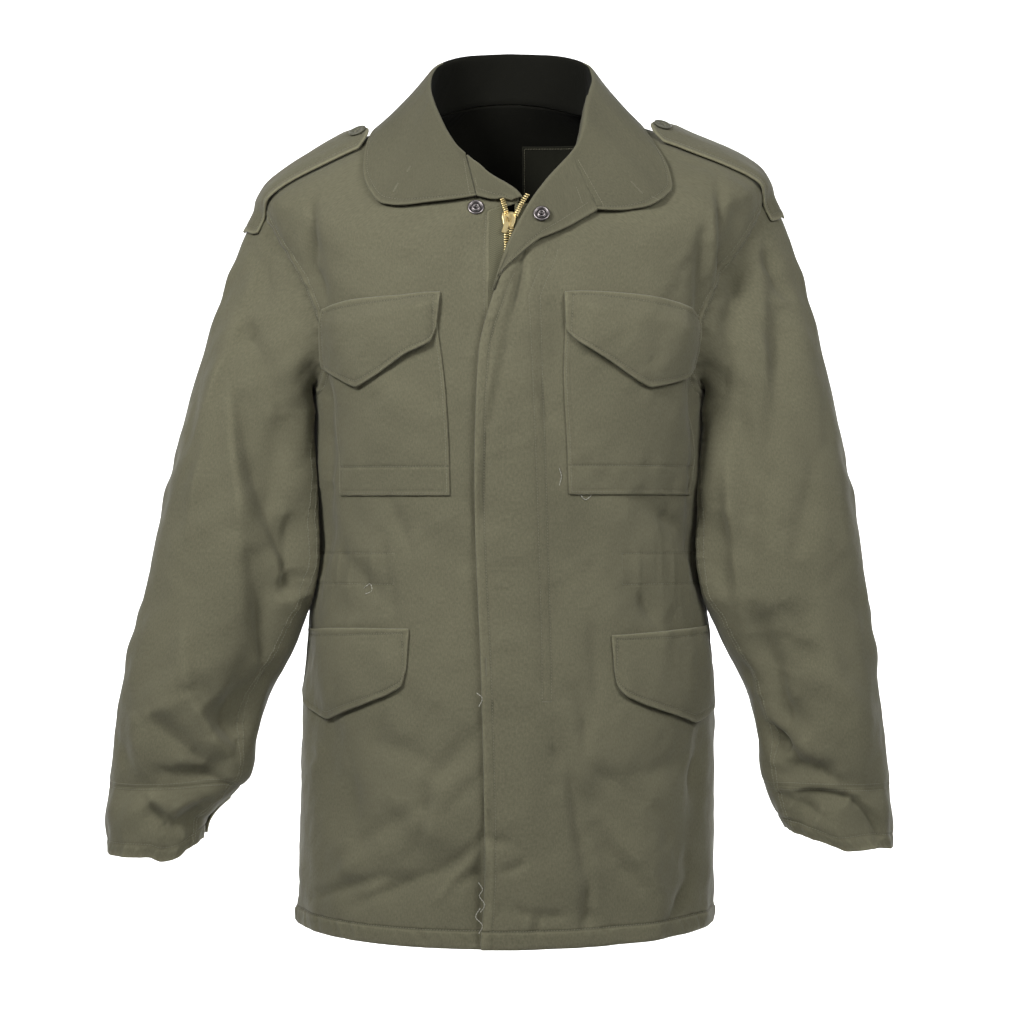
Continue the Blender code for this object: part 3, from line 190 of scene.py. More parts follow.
# Creases seen from the front, in millimetres: both ends, how far the middle bows to the left of
# the way from the first end, the width each side, and the depth (- is a trough).
FRONT_CREASES = Table("""x0 z0 x1 z1 bow left right depth
    -175 -704 -101 -676 4 2.7 5.3 -2.6
    -138 -705 -66 -673 3 2.7 5.3 -3.4
    -66 -673 -21 -641 -3 4.4 3.5 -2.2
    -71 -598 -86 -660 3 2.7 3.5 -3
    -51 -685 -21 -670 1 2.7 3.5 -2.6
    -71 -704 -27 -651 0 4.4 4.4 1.8
    -24 -643 -26 -725 0 4.4 8 -4
    -69 -596 -26 -546 0 8 8 -2.6
    -138 -658 -78 -615 2 8 8 -2.8
    -51 -615 -26 -590 0 5.3 5.3 -2
    -176 -565 -169 -579 0 2.7 2.7 1.3
    -169 -579 -178 -588 0 2.7 2.7 1.3
    -142 -583 -138 -638 0 7.1 8 -1.8
    -17 -608 -14 -640 0 2.7 2.7 -1.8
    -16 -641 4 -646 0 2.7 2.7 -2.2
    -9 -671 17 -660 -2 2.7 3.5 -1.8
    4 -703 27 -709 0 2.7 2.7 -1.8
    25 -709 53 -709 0 2.7 2.7 -1.8
    26 -708 24 -725 0 2.7 2.7 -1.6
    -4 -696 -9 -713 0 3.5 3.5 -1
    39 -559 46 -579 0 2.7 3.5 -1.8
    52 -565 72 -689 -1 5.3 3.5 -4.2
    73 -682 65 -725 1 3.5 4.4 -3.6
    67 -705 83 -720 0 4.4 4.4 -1.8
    68 -535 69 -572 0 2.7 2.7 -1.6
    73 -581 126 -617 2 8 8 -2.6
    126 -613 150 -656 2 8 8 -2
    71 -627 101 -666 1 7.1 7.1 -2.4
    99 -661 124 -693 0 7.1 7.1 -1.8
    83 -626 138 -694 2 7.1 7.1 1.8
    166 -659 168 -689 0 3.5 4.5 -1.6
    168 -684 146 -717 3 3.5 4.4 -2.4
    173 -574 169 -605 0 3.5 3.5 -2
    -177 -64 -179 -138 0 4.4 3.5 -2.8
    -178 -134 -164 -169 2 3.5 3.5 -1.6
    175 -106 173 -188 -1 5.3 5.3 -5
    191 -53 194 -120 0 4.4 3.5 -3.2
    194 -116 200 -153 0 3.5 3.5 -2.8
    184 -88 186 -161 0 4.4 4.4 2
    27 -234 38 -285 0 3.5 3.5 -1.2
    14 -129 2 -185 1 3.5 3.5 -2.2
    3 -182 -19 -293 0 3.5 3.5 -2.4
    -19 -290 -25 -380 0 3.5 2.7 -1.6
    -40 -115 -33 -194 0 8 8 -1
    -102 -349 -88 -385 0 5.3 5.3 -1.6
    -109 -391 -100 -450 0 4.4 5.3 -1.3
    115 -427 132 -456 0 3.5 3.5 -1.8
    74 -449 80 -523 0 4.4 4.4 -1.2
    117 -344 173 -399 4 8 8 -2.2
    -109 -521 -121 -578 0 6.2 6.2 -1.8
    -58 -521 -78 -578 0 7.1 7.1 -1.5
    -144 -394 -111 -433 0 6.2 6.2 -1.1
    46 -362 81 -433 4 8.8 8.8 -1.2
    -69 -380 -47 -468 4 8.8 8.8 -1
    60 -512 74 -555 0 4.4 4.4 -1.2
    135 -355 161 -371 0 4.4 4.4 -1.4
    -157 -355 -164 -397 0 5.3 5.3 -1.4
    -164 -232 -163 -330 0 7 7 -4.5
    -164 -322 -172 -420 0 7 7 -4.5
    171 -205 167 -330 0 7 7 -4.5
    167 -322 175 -430 0 7 7 -4.5
    -33 -470 -40 -540 0 9 9 -1.2
    -112 -560 -70 -575 2 7 9 -1.3
    -60 -640 -100 -610 0 9 9 1.4
    60 -600 110 -650 0 9 9 -1.5
    40 -650 62 -700 0 6 9 1.8
    -150 -680 -110 -640 0 8 8 1.6
    95 -590 160 -575 -3 8 8 -1.4
    -150 -455 -110 -452 0 6 6 0.8
    60 -105 130 -140 3 9 9 -0.9
    -150 -110 -80 -135 -3 9 9 -0.9
""")
BACK_CREASES = Table("""x0 z0 x1 z1 bow left right depth
    -150 -420 -60 -470 8 12 8 -3
    150 -430 70 -480 -8 12 8 -3
    -120 -600 -60 -700 8 14 9 -3.5
    110 -590 80 -710 -6 14 9 -3.5
    -150 -170 -90 -260 -10 14 10 -3.5
    150 -170 90 -270 10 14 10 -3.5
""")


NARROWEST_CREASE, DEEPEST_CREASE = 4.6, 11.0


def creased(x, z, table, wider):
    """How far, in metres, a table's creases, made wider by this much, move points at (x, z) out."""
    moved, scale = np.zeros(np.shape(x)), sizes().crease
    x, z = np.asarray(x) * 1000, np.asarray(z) * 1000
    for x0, z0, x1, z1, bow, left, right, depth in table.values:
        length = math.hypot(x1 - x0, z1 - z0)
        along = ((x - x0) * (x1 - x0) + (z - z0) * (z1 - z0)) / length**2
        off = ((z - z0) * (x1 - x0) - (x - x0) * (z1 - z0)) / length
        inside = np.clip(along, 0, 1)
        off = off - 4 * bow * inside * (1 - inside)
        taper = 0.55 + 0.45 * np.sin(math.pi * inside) ** 0.7
        width = np.maximum(np.where(off > 0, left, right) * taper * wider, NARROWEST_CREASE)
        end = np.maximum(0.0, np.abs(along - 0.5) - 0.5) * length / (0.6 * wider * (left + right))
        fade = np.sin(math.pi * np.clip(inside, 0.04, 0.96)) ** 0.5
        most = min(DEEPEST_CREASE, 0.45 * (left + right) * wider)
        moved += np.clip(depth * scale, -most, most) * fade * np.exp(-(np.abs(off / width) ** 1.8) - end**2)
    return moved / 1000


def waves(s, *lengths, start=0.0):
    """An uneven line along s: sines of these lengths in metres, between about -1 and 1."""
    total = sum(np.sin(2 * math.pi * s / length + start + 2.4 * i) for i, length in enumerate(lengths))
    return total / len(lengths) ** 0.5 / 1.2


# Where snaps press through the cloth over them: x and height in millimetres, and the radius.
SNAP_MARKS = Table("""x z radius
    -9 -302 6.5
    -5 -416 7
    -7 -527 7
    -126 -222 4.5
    123 -218 5.5
    -161 -515 5.5
    164 -514 5.5
""")


def pressed(points):
    """How far the snaps underneath push out cloth at these points."""
    x, z = points[..., 0] * 1000, points[..., 2] * 1000
    moved = np.zeros(x.shape)
    for x0, z0, radius in SNAP_MARKS.values:
        off = np.hypot(x - x0, z - z0)
        moved += 0.45 * smooth((radius - off) / 2.6) - 0.35 * np.exp(-(((off - radius) / 1.8) ** 2))
        moved -= 0.35 * np.exp(-((off / (radius * 0.4)) ** 2))
    return np.where(points[..., 1] < 0, moved / 1000, 0.0)


def fly_lift(angle, t):
    """How far the wearer's left front stands off the form: the storm fly, fading out past its stitching."""
    x = bare_torso(angle, t)[..., 0]
    return FLY_LIFT * (1 - smooth((x - 0.014) / 0.034)) * smooth((0.99 - t) / 0.03)


def body(angle, t, lift=0.0):
    """A point on the creased body, moved out along the form's normal by lift."""
    point = bare_torso(angle, t)
    fade = smooth((0.97 - t) / 0.06)
    x, z = point[..., 0], point[..., 2]
    u = np.asarray(angle) * FOLD_RADIUS
    before = smooth(0.5 + 2.5 * np.cos(angle))
    out = folded(u, z, BODY_FOLDS)
    out = out + before * creased(x, z, FRONT_CREASES, 1.35) + (1 - before) * creased(x, z, BACK_CREASES, 1.0)
    out = out + 0.0013 * waves(u + 0.4 * z, 0.047, 0.083, start=1.0) * waves(z - 0.3 * u, 0.061, 0.109)
    out = out + 0.0004 * waves(u - 0.7 * z, 0.023, 0.037) * waves(z + 0.5 * u, 0.047, 0.083, start=2.0)
    out = lift + fade * out
    return point + torso_normal(angle, t) * np.asarray(out)[..., None]


def angle_at(x, t):
    """The front ring angle at which ring t has this x."""
    across = x - TORSO.at("lean", t)
    share = np.clip(np.abs(across) / TORSO.at("half", t), 0.0, 1.0)
    return np.sign(across) * np.arcsin(share ** (1 / squareness(t)))


def t_at(angle, z):
    """The ring on which the bare form has this height, at each ring angle."""
    low, high = np.zeros(np.shape(angle)), np.ones(np.shape(angle))
    for _ in range(26):
        middle = (low + high) / 2
        under = bare_torso(angle, middle)[..., 2] < z
        low, high = np.where(under, middle, low), np.where(under, high, middle)
    return (low + high) / 2


def armhole_angle(t, dip):
    """The ring angle where the armhole cuts ring t, measured from the centre of its panel."""
    s = (t - ARMPIT_T) / (SHOULDER_TIP_T - ARMPIT_T)
    inside = (s > 0) & (s < 1)
    lean = np.clip(1 - 2 * s, -1, 1)
    bite = np.sqrt(np.clip(1 - lean**2, 0, 1)) * (1 + 0.3 * lean)
    return SIDE - np.where(inside, dip * bite, 0.0)


FRONT_EDGE_RIGHT = Table("""t x
    0 -0.017
    0.94 -0.017
    0.951 -0.008
    0.963 0.0096
    0.975 0.004
    0.985 -0.004
    1 -0.028
""")
FRONT_EDGE_LEFT = Table("""t x
    0 -0.023
    0.09 -0.0195
    0.25 -0.0225
    0.46 -0.0285
    0.64 -0.025
    0.74 -0.014
    0.852 0.0008
    0.934 0.0192
    0.966 0.031
    0.978 0.041
    0.985 0.06
    1 0.07
""")
GORGE_RIGHT = (-0.04, 1.0)
GORGE_LEFT = (0.06, 0.985)
YOKE_ROWS = (0.895, 0.93, 0.941, 0.951, 0.963, 0.974, 0.985, 0.99, 0.995, 1.0)
# The fly's long line of stitching, by ring.
FLY_STITCH = Table("""t x
    0 0.03
    0.25 0.03
    0.42 0.0265
    0.62 0.0215
    0.8 0.018
    1 0.05
""")


def seam_angle(t):
    """Half of the seam gap, as a ring angle."""
    return 0.5 * SEAM_GAP / np.maximum(TORSO.at("half", t) * 0.75, 0.05)


# ---- meshes
def quads(grid, close=False, flip=False):
    """The faces of a grid of point numbers. close joins its last column to the first."""
    if close:
        grid = np.concatenate([grid, grid[:, :1]], axis=1)
    faces = np.stack([grid[:-1, :-1], grid[1:, :-1], grid[1:, 1:], grid[:-1, 1:]], axis=-1).reshape(-1, 4)
    return faces[:, ::-1] if flip else faces


def make_mesh(name, points, faces, materials, slots=None, **attributes):
    """An object of this mesh. slots gives each face's material, and each attribute a value for each point."""
    mesh = bpy.data.meshes.new(name)
    mesh.from_pydata(points.tolist(), [], [list(face) for face in faces])
    for material in materials:
        mesh.materials.append(material)
    if slots is not None:
        mesh.polygons.foreach_set("material_index", np.asarray(slots, dtype=np.int32))
    for label, values in attributes.items():
        values = np.asarray(values, np.float32)
        kind, field = ("FLOAT_VECTOR", "vector") if values.ndim == 2 else ("FLOAT", "value")
        mesh.attributes.new(label, kind, "POINT").data.foreach_set(field, values.ravel())
    mesh.polygons.foreach_set("use_smooth", np.ones(len(mesh.polygons), bool))
    mesh.update()
    item = bpy.data.objects.new(name, mesh)
    bpy.context.scene.collection.objects.link(item)
    return item


def grid_normals(points, tube=False):
    """Normals of a grid of points, to the side that its rows and columns turn to."""
    down = np.gradient(points, axis=0)
    if tube:
        across = np.roll(points, -1, axis=1) - np.roll(points, 1, axis=1)
    else:
        across = np.gradient(points, axis=1)
    return unit(np.cross(across, down))


SLIGHT_BEND, SHARP_BEND = 80.0, 300.0  # bends, per metre: from the first, ridges are rubbed paler and troughs take painted shade


def bends(middle, normals, tube):
    """How sharply a grid of cloth bends, per metre: over 0 along ridges and under 0 in troughs."""
    sharp = np.zeros(middle.shape[:2])
    for axis in (0, 1):
        before, after = np.roll(middle, 1, axis) - middle, np.roll(middle, -1, axis) - middle
        near, far = (np.maximum(np.linalg.norm(way, axis=-1), 1e-5) for way in (before, after))
        turn = 2 * (before / near[..., None] + after / far[..., None]) / (near + far)[..., None]
        found = -(turn * normals).sum(axis=-1)
        if axis == 0 or not tube:
            edge = np.moveaxis(found, axis, 0)
            edge[0], edge[-1] = 0.0, 0.0
        sharp += found
    return sharp


def softened(field, times=2):
    """A grid's values, each drawn this many times toward its neighbours'."""
    for _ in range(times):
        wide = np.pad(field, 1, mode="edge")
        field = (4 * field + wide[:-2, 1:-1] + wide[2:, 1:-1] + wide[1:-1, :-2] + wide[1:-1, 2:]) / 8
    return field


def wall(name, middle, normals, thickness, materials, cut, wear=None, tube=False, dark=None, painted_shade_top=False):
    """A thin closed shell of cloth round a grid of middle points, its edges rounded.

    cut gives each point's place on the flat cut, wear its rubbing from 0 to 1 and, below 0, painted shade
    in troughs. Faces of the inner skin where dark is true take the last material, the near-black painted
    shade, and so does the last row's rim when the top is shaded too.
    """
    rows, columns = middle.shape[:2]
    half = thickness / 2
    wear = np.zeros((rows, columns)) if wear is None else np.broadcast_to(wear, (rows, columns))
    sharp = softened(bends(middle, normals, tube))
    sharp = np.sign(sharp) * np.maximum(np.abs(sharp) - SLIGHT_BEND, 0.0)
    # Troughs add painted shade below 0; ridges add up to 0.22 of rubbing.
    wear = wear + np.clip(sharp / SHARP_BEND, -0.8, 0.22)
    cut = np.concatenate([np.broadcast_to(cut, (rows, columns, 2)), np.zeros((rows, columns, 1))], axis=-1)
    number = np.arange(rows * columns).reshape(rows, columns)
    outer, inner = number, number + rows * columns
    points = [(middle + normals * half).reshape(-1, 3), (middle - normals * half).reshape(-1, 3)]
    cuts, wears = [cut.reshape(-1, 3)] * 2, [wear.ravel()] * 2
    faces, count = [quads(outer, tube)], 2 * rows * columns
    inside = quads(inner, tube, flip=True)
    rims = [(0, slice(None), 1, True), (-1, slice(None), -2, False)]
    if not tube:
        rims += [(slice(None), 0, 1, False), (slice(None), -1, -2, True)]
    corner = {}
    for first, second, near, flip in rims:
        along_row = isinstance(first, int)
        pick = (first, second)
        beside = (near, second) if along_row else (first, near)
        push = unit(middle[pick] - middle[beside]) * half * 0.8
        ids = np.arange(count, count + len(push))
        if not tube:
            for end in (0, -1):
                key = (first, end) if along_row else (end, second)
                if key in corner:
                    ids[end] = corner[key]
                else:
                    corner[key] = ids[end]
        points.append(middle[pick] + push)
        cuts.append(cut[pick])
        wears.append(np.maximum(wear[pick], 0.22))
        count += len(push)
        strip = np.stack([outer[pick], ids, inner[pick]])
        faces.append(quads(strip, close=tube, flip=flip))
    top_faces = sum(map(len, faces[:2])), sum(map(len, faces[:3]))
    faces.append(inside)
    faces = np.concatenate(faces)
    slots = np.zeros(len(faces), int)
    if painted_shade_top:
        slots[slice(*top_faces)] = len(materials) - 1
    if dark is not None:
        held = np.broadcast_to(dark, (rows, columns)).ravel()[inside - rows * columns].mean(axis=1) > 0.5
        slots[-len(inside):][held] = len(materials) - 1
    marks = {"cut": np.concatenate(cuts), "wear": np.concatenate(wears)}
    return turned_out(make_mesh(name, np.concatenate(points), faces, materials, slots, **marks))


def read(rows, label, kind, wide=1):
    """One value, or a wide row of them, from each row of a mesh's data."""
    values = np.empty(len(rows) * wide, kind)
    rows.foreach_get(label, values)
    return values.reshape(-1, wide)


def turned_out(item):
    """Turns a closed mesh's faces to look out."""
    mesh = item.data
    mesh.calc_loop_triangles()
    corners = read(mesh.loop_triangles, "vertices", np.int32, 3)
    volume = np.linalg.det(read(mesh.vertices, "co", np.float32, 3)[corners].astype(float)).sum()
    if volume < 0:
        mesh.flip_normals()
    mesh.update()
    return item


def resampled(grid, rows, columns):
    """A grid of control points read smoothly at places counted in its rows and columns."""
    for axis, places in ((0, rows), (1, columns)):
        grid = np.moveaxis(grid, axis, 0)
        i = np.clip(np.floor(places).astype(int), 0, len(grid) - 2)
        s = (places - i).reshape(-1, *[1] * (grid.ndim - 1))
        first = np.concatenate([2 * grid[:1] - grid[1:2], grid, 2 * grid[-1:] - grid[-2:-1]])
        a, b, c, d = first[i], first[i + 1], first[i + 2], first[i + 3]
        grid = b + 0.5 * s * (c - a + s * (2 * a - 5 * b + 4 * c - d + s * (3 * (b - c) + d - a)))
        grid = np.moveaxis(grid, 0, axis)
    return grid


def ruled(curves, counts):
    """Columns along several curves of a panel, and evenly between each two."""
    parts = []
    for start, end, count in zip(curves[:-1], curves[1:], counts):
        parts.append(start[:, None] + (end - start)[:, None] * np.linspace(0, 1, count, endpoint=False))
    return np.concatenate([*parts, curves[-1][:, None]], axis=1)


def with_lines(values, lines, close):
    """Sorted values with more of them at and beside each line of sewing."""
    extra = [line + step * close for line in lines for step in (-2, -1, 0, 1, 2)]
    both = np.sort(np.concatenate([values, extra]))
    both = both[(both >= values[0]) & (both <= values[-1])]
    return both[np.concatenate([[True], np.diff(both) > close * 0.3])]


def travelled(points):
    """The length along a line of points, at each."""
    return np.concatenate([[0], np.cumsum(np.linalg.norm(np.diff(points, axis=0), axis=1))])


def groove(off, depth=0.0004, width=0.0009):
    """The trough that a line of stitches pulls into the cloth."""
    return -depth * np.exp(-((off / width) ** 2))


def stitches(name, lines, finish="thread"):
    """Sewing thread on a face, along lines of (points, normals): each stitch is a short arched prism."""
    wide, length = sizes().thread, sizes().stitch
    rings = []
    for points, normals in lines:
        along = travelled(points)
        ends = np.linspace(0, along[-1], max(1, round(along[-1] / length)) + 1)
        places = ends[:-1, None] + ends[1] * np.array([0.08, 0.5, 0.92])
        at = np.stack([np.interp(places, along, column) for column in points.T], axis=-1)
        out = unit(np.stack([np.interp(places, along, column) for column in normals.T], axis=-1))
        across = unit(np.cross(at[:, 2:] - at[:, :1], out)) * wide / 2
        rise = out * wide * np.array([0.1, 0.75, 0.1])[None, :, None]
        sunk = at - out * wide * 0.35
        rings.append(np.stack([sunk - across, sunk + across, at + rise], axis=2))
    rings = np.concatenate(rings)
    number = np.arange(rings.size // 3).reshape(-1, 3, 3)
    start, end = number[:, :-1], number[:, 1:]
    turned = np.roll(start, -1, axis=2), np.roll(end, -1, axis=2)
    sides = np.stack([start, end, turned[1], turned[0]], axis=-1).reshape(-1, 4)
    faces = sides.tolist() + number[:, 0, ::-1].tolist() + number[:, 2].tolist()
    item = turned_out(make_mesh(name, rings.reshape(-1, 3), faces, [material(finish)]))
    return place(item)


def bar_tack(start, end, normal, wide=0.002, close=0.0007):
    """Lines of close stitches across the way from start to end."""
    way = unit(end - start)
    across = unit(np.cross(way, normal)) * wide / 2
    count = max(2, round(np.linalg.norm(end - start) / close))
    middles = start + (end - start) * np.linspace(0, 1, count)[:, None]
    return [(np.stack([p - across, p + across]), np.stack([normal, normal])) for p in middles]


def lathe(name, profile, radius, height, centre, normal, finish, sides=40):
    """A turned piece from (radius share, height share) pairs, from its middle outwards and under.

    Its wear marks the rims.
    """
    turn = np.arange(sides) / sides * 2 * math.pi
    profile = np.array(profile, float)
    ring = np.stack([np.cos(turn), np.sin(turn)], axis=-1)
    flat = profile[1:-1, None, :1] * ring[None] * radius
    rise = np.broadcast_to(profile[1:-1, None, 1:] * height / 2, (*flat.shape[:2], 1))
    points = np.concatenate([flat, rise], axis=-1)
    wear = np.repeat(smooth((profile[1:-1, 1] - 0.3) / 0.5), sides)
    number = np.arange(points.size // 3).reshape(-1, sides)
    top, foot = number.size, number.size + 1
    ends = [[0, 0, profile[end, 1] * height / 2] for end in (0, -1)]
    points = np.concatenate([points.reshape(-1, 3), ends])
    faces = quads(number, close=True).tolist()
    faces += [[top, int(number[0][j]), int(number[0][(j + 1) % sides])] for j in range(sides)]
    faces += [[foot, int(number[-1][(j + 1) % sides]), int(number[-1][j])] for j in range(sides)]
    wear = np.concatenate([wear, [0.0, 0.0]])
    points = points @ facing(normal).T + centre
    return turned_out(make_mesh(name, points, faces, [material(finish)], wear=wear))


def facing(normal):
    """The turn that brings +Z to this normal."""
    return np.array(Vector(normal).to_track_quat("Z", "Y").to_matrix())


# ---- finishes
class Wire:
    """A node's output. Python's operators on numbers add Math nodes."""

    def __init__(self, finish, socket):
        self.finish, self.socket = finish, socket

    def __add__(self, other):
        return self.finish.maths("ADD", self, other)

    def __sub__(self, other):
        return self.finish.maths("SUBTRACT", self, other)

    def __rsub__(self, other):
        return self.finish.maths("SUBTRACT", other, self)

    def __mul__(self, other):
        return self.finish.maths("MULTIPLY", self, other)

    __radd__, __rmul__ = __add__, __mul__


class Finish:
    """One material's nodes."""

    def __init__(self, name):
        self.material = bpy.data.materials.new(name)
        self.material.use_nodes = True
        self.tree = self.material.node_tree
        self.tree.nodes.clear()

    def node(self, kind, settings=None, sockets=None, output=0):
        made = self.tree.nodes.new(kind)
        for key, value in (settings or {}).items():
            setattr(made, key, value)
        for key, value in (sockets or {}).items():
            if isinstance(value, Wire):
                self.tree.links.new(value.socket, made.inputs[key])
            else:
                made.inputs[key].default_value = value
        return Wire(self, made.outputs[output])

    def maths(self, operation, *values):
        return self.node("ShaderNodeMath", {"operation": operation}, dict(enumerate(values)))

    def attribute(self, name, output="Vector"):
        return self.node("ShaderNodeAttribute", {"attribute_name": name}, output=output)

    def scaled(self, vector, scale):
        return self.node("ShaderNodeVectorMath", {"operation": "MULTIPLY"}, {0: vector, 1: scale})

    def noise(self, vector, scale=1.0, detail=2.0, roughness=0.5):
        sockets = {"Vector": vector, "Scale": scale, "Detail": detail, "Roughness": roughness}
        return self.node("ShaderNodeTexNoise", None, sockets)

    def blend(self, share, first, second, kind="MIX"):
        settings = {"data_type": "RGBA", "blend_type": kind}
        return self.node("ShaderNodeMix", settings, {0: share, 6: first, 7: second}, output=2)

    def finish(self, colour, roughness, bump=None, bump_distance=0.0002, **fixed):
        sockets = {"Base Color": colour, "Roughness": roughness}
        sockets.update({key.replace("_", " "): value for key, value in fixed.items()})
        if bump is not None:
            lifted = {"Height": bump, "Distance": bump_distance, "Strength": 1.0}
            sockets["Normal"] = self.node("ShaderNodeBump", None, lifted)
        shader = self.node("ShaderNodeBsdfPrincipled", None, sockets)
        out = self.tree.nodes.new("ShaderNodeOutputMaterial")
        self.tree.links.new(shader.socket, out.inputs["Surface"])
        return self.material


def flecked(name, scale, detail, dark, pale):
    """A new material's nodes, the fine fleck over the piece, and two colours blended by it."""
    f = Finish(name)
    fleck = f.noise(f.node("ShaderNodeTexCoord", output="Object"), scale, detail)
    return f, fleck, f.blend(fleck, dark, pale)


def tint(colour, times):
    return (*[min(1.0, part * times) for part in colour[:3]], 1.0)


def woven(name, colour, sheen=0.15, contrast=1.0, weave=0.00012):
    """Cotton sateen: fine uneven threads both ways, soft mottling, paler rubbed edges and ridges, and painted
    shade darkening the troughs of creases.
    """
    f = Finish(name)
    cut = f.attribute("cut")
    wear = f.attribute("wear", "Fac")
    warp = f.noise(f.scaled(cut, (2100.0, 240.0, 1.0)))
    weft = f.noise(f.scaled(cut, (260.0, 1900.0, 1.0)))
    nap = f.noise(f.scaled(cut, (880.0, 330.0, 1.0)), 1.0, 4.0, 0.7)
    cloud = f.noise(cut, 14.0, 4.0)
    thread = warp * 0.6 + weft * 0.4
    crumple = f.noise(cut, 24.0, 4.0, 0.6)
    fine = f.noise(cut, 120.0, 3.0, 0.6)
    tone = (thread - 0.5) * (0.7 * contrast) + (nap - 0.5) * (1.25 * contrast) + (cloud - 0.5) * 0.5 + 0.5
    base = f.blend(tone, tint(colour, 0.66), tint(colour, 1.34))
    # Painted shade: where the attribute falls below 0, in the troughs of creases, the olive darkens towards a
    # third of itself.
    trough_shade = f.blend(wear * -0.75, base, tint(colour, 0.3))
    rubbed = f.blend(wear * (nap * 1.1 + 0.1), trough_shade, tint(colour, 2.0))
    bent = f.noise(f.scaled(cut, (27.0, 15.0, 1.0)), 1.0, 3.0, 0.5) - 0.5
    fold = f.noise(f.scaled(cut, (52.0, 74.0, 1.0)), 1.0, 3.0, 0.5) - 0.5
    ridges = f.maths("ABSOLUTE", bent) * 16.0 + f.maths("ABSOLUTE", fold) * 4.0
    height = thread * 0.9 + nap * 0.7 + fine * 1.6 + crumple * 6.0 - ridges
    fixed = {"Sheen_Weight": sheen, "Sheen_Roughness": 0.45, "Specular_IOR_Level": 0.22}
    return f.finish(rubbed, 0.88, height, bump_distance=weave, **fixed)


# ---- settings
PLAIN_COLOUR = {"subtype": "COLOR", "size": 3, "min": 0, "max": 1}


class JacketColours(bpy.types.PropertyGroup):
    shell: bpy.props.FloatVectorProperty(
        name="Shell", description="Olive of the outer cloth",
        default=(0.138, 0.131, 0.084), **PLAIN_COLOUR,
    )
    # Near-black painted shade, given to most inner faces of the fronts, back, sleeves and cuffs, and to the
    # collar's stand behind the neck roll.
    painted_shade_lining: bpy.props.FloatVectorProperty(
        name="Lining", description="Dark cloth inside the neck and body",
        default=(0.0042, 0.0042, 0.0019), **PLAIN_COLOUR,
    )
    thread: bpy.props.FloatVectorProperty(
        name="Thread", description="Sewing thread",
        default=(0.205, 0.195, 0.135), **PLAIN_COLOUR,
    )
    brass: bpy.props.FloatVectorProperty(
        name="Brass", description="Zip teeth, slider and pull",
        default=SLOT_COLOUR["brass"], **PLAIN_COLOUR,
    )
    backdrop: bpy.props.FloatVectorProperty(
        name="Backdrop", description="Floor and backdrop",
        default=(0.94, 0.94, 0.94), **PLAIN_COLOUR,
    )


class JacketSizes(bpy.types.PropertyGroup):
    stitch: bpy.props.FloatProperty(
        name="Stitch", description="Length of one stitch", default=0.0026, min=0.001, max=0.006, unit="LENGTH"
    )
    thread: bpy.props.FloatProperty(
        name="Thread", description="Width of the sewing thread", default=0.0008, min=0.0002, max=0.002,
        unit="LENGTH",
    )
    crease: bpy.props.FloatProperty(
        name="Creases", description="How deep the creases are, as a multiple", default=2.1, min=0.0, max=3.0
    )
    camera_distance: bpy.props.FloatProperty(
        name="Camera", description="From the camera to the jacket's middle", default=2.6, min=1.0, max=10.0,
        unit="LENGTH",
    )
    light: bpy.props.FloatProperty(
        name="Light", description="Brightness of the studio lights", default=1.0, min=0.1, max=4.0
    )


MATERIALS = {}


def colours():
    return bpy.context.scene.jacket_colours


def sizes():
    return bpy.context.scene.jacket_sizes


def material(name):
    """A finish by its name, made the first time that it is asked for."""
    if name not in MATERIALS:
        MATERIALS[name] = MAKERS[name]()
    return MATERIALS[name]


def shell_cloth():
    return woven("shell_cloth", colours().shell)


# The shell's olive at 0.79 of its brightness, for the collar.
def collar_cloth():
    return woven("collar_cloth", tint(colours().shell, 0.79))


# Near-black painted shade for the jacket's insides, as a woven cloth.
def lining_cloth():
    return woven("lining_cloth", colours().painted_shade_lining, sheen=0.02, contrast=0.6)


def zip_tape():
    """Herringbone tape: slanting ribs that turn at each change of column."""
    f = Finish("zip_tape")
    parts = f.node("ShaderNodeSeparateXYZ", None, {0: f.attribute("cut")})
    down = Wire(f, parts.socket.node.outputs[1])
    column = f.maths("PINGPONG", parts * 260.0, 1.0)
    rib = f.maths("FRACT", down * 520.0 + column * 1.2)
    fuzz = f.noise(f.attribute("cut"), 1800.0, 2.0)
    tone = rib * 0.7 + fuzz * 0.3
    base = f.blend(tone, tint(SLOT_COLOUR["tape"], 0.62), tint(SLOT_COLOUR["tape"], 1.45))
    return f.finish(base, 0.9, tone, bump_distance=0.0003)


def metal(name, colour, rough, dark):
    """Metal with fine scratches, brighter where its rims are rubbed."""
    f, worn, base = flecked(name, 700.0, 3.0, tint(colour, dark), tint(colour, 1.1))
    rubbed = f.blend(f.attribute("wear", "Fac") * 0.8, base, tint(colour, 3.2))
    return f.finish(rubbed, worn * 0.2 + rough, worn, bump_distance=0.00003, Metallic=1.0)


def cotton(name, dark, pale):
    """Fuzzy sewing thread."""
    f, fuzz, base = flecked(name, 1500.0, 2.0, dark, pale)
    return f.finish(base, 0.8, fuzz, bump_distance=0.0001)


def thread_cotton():
    return cotton("thread_cotton", tint(colours().thread, 0.8), tint(colours().thread, 1.2))


def pale_thread():
    return cotton("pale_thread", (0.42, 0.41, 0.34, 1.0), (0.62, 0.6, 0.52, 1.0))


def patch_cloth():
    return woven("patch_cloth", (0.02, 0.02, 0.013), sheen=0.02, contrast=0.6)


def button_plastic():
    dark, pale = (tint(SLOT_COLOUR["button"], times) for times in (0.8, 1.2))
    f, cloud, base = flecked("button_plastic", 300.0, 3.0, dark, pale)
    return f.finish(base, cloud * 0.2 + 0.4, cloud, bump_distance=0.00005)


def studio_paper():
    colour = colours().backdrop
    f, _, base = flecked("studio_paper", 2.0, 2.0, tint(colour, 0.99), tint(colour, 1.0))
    return f.finish(base, 0.95)


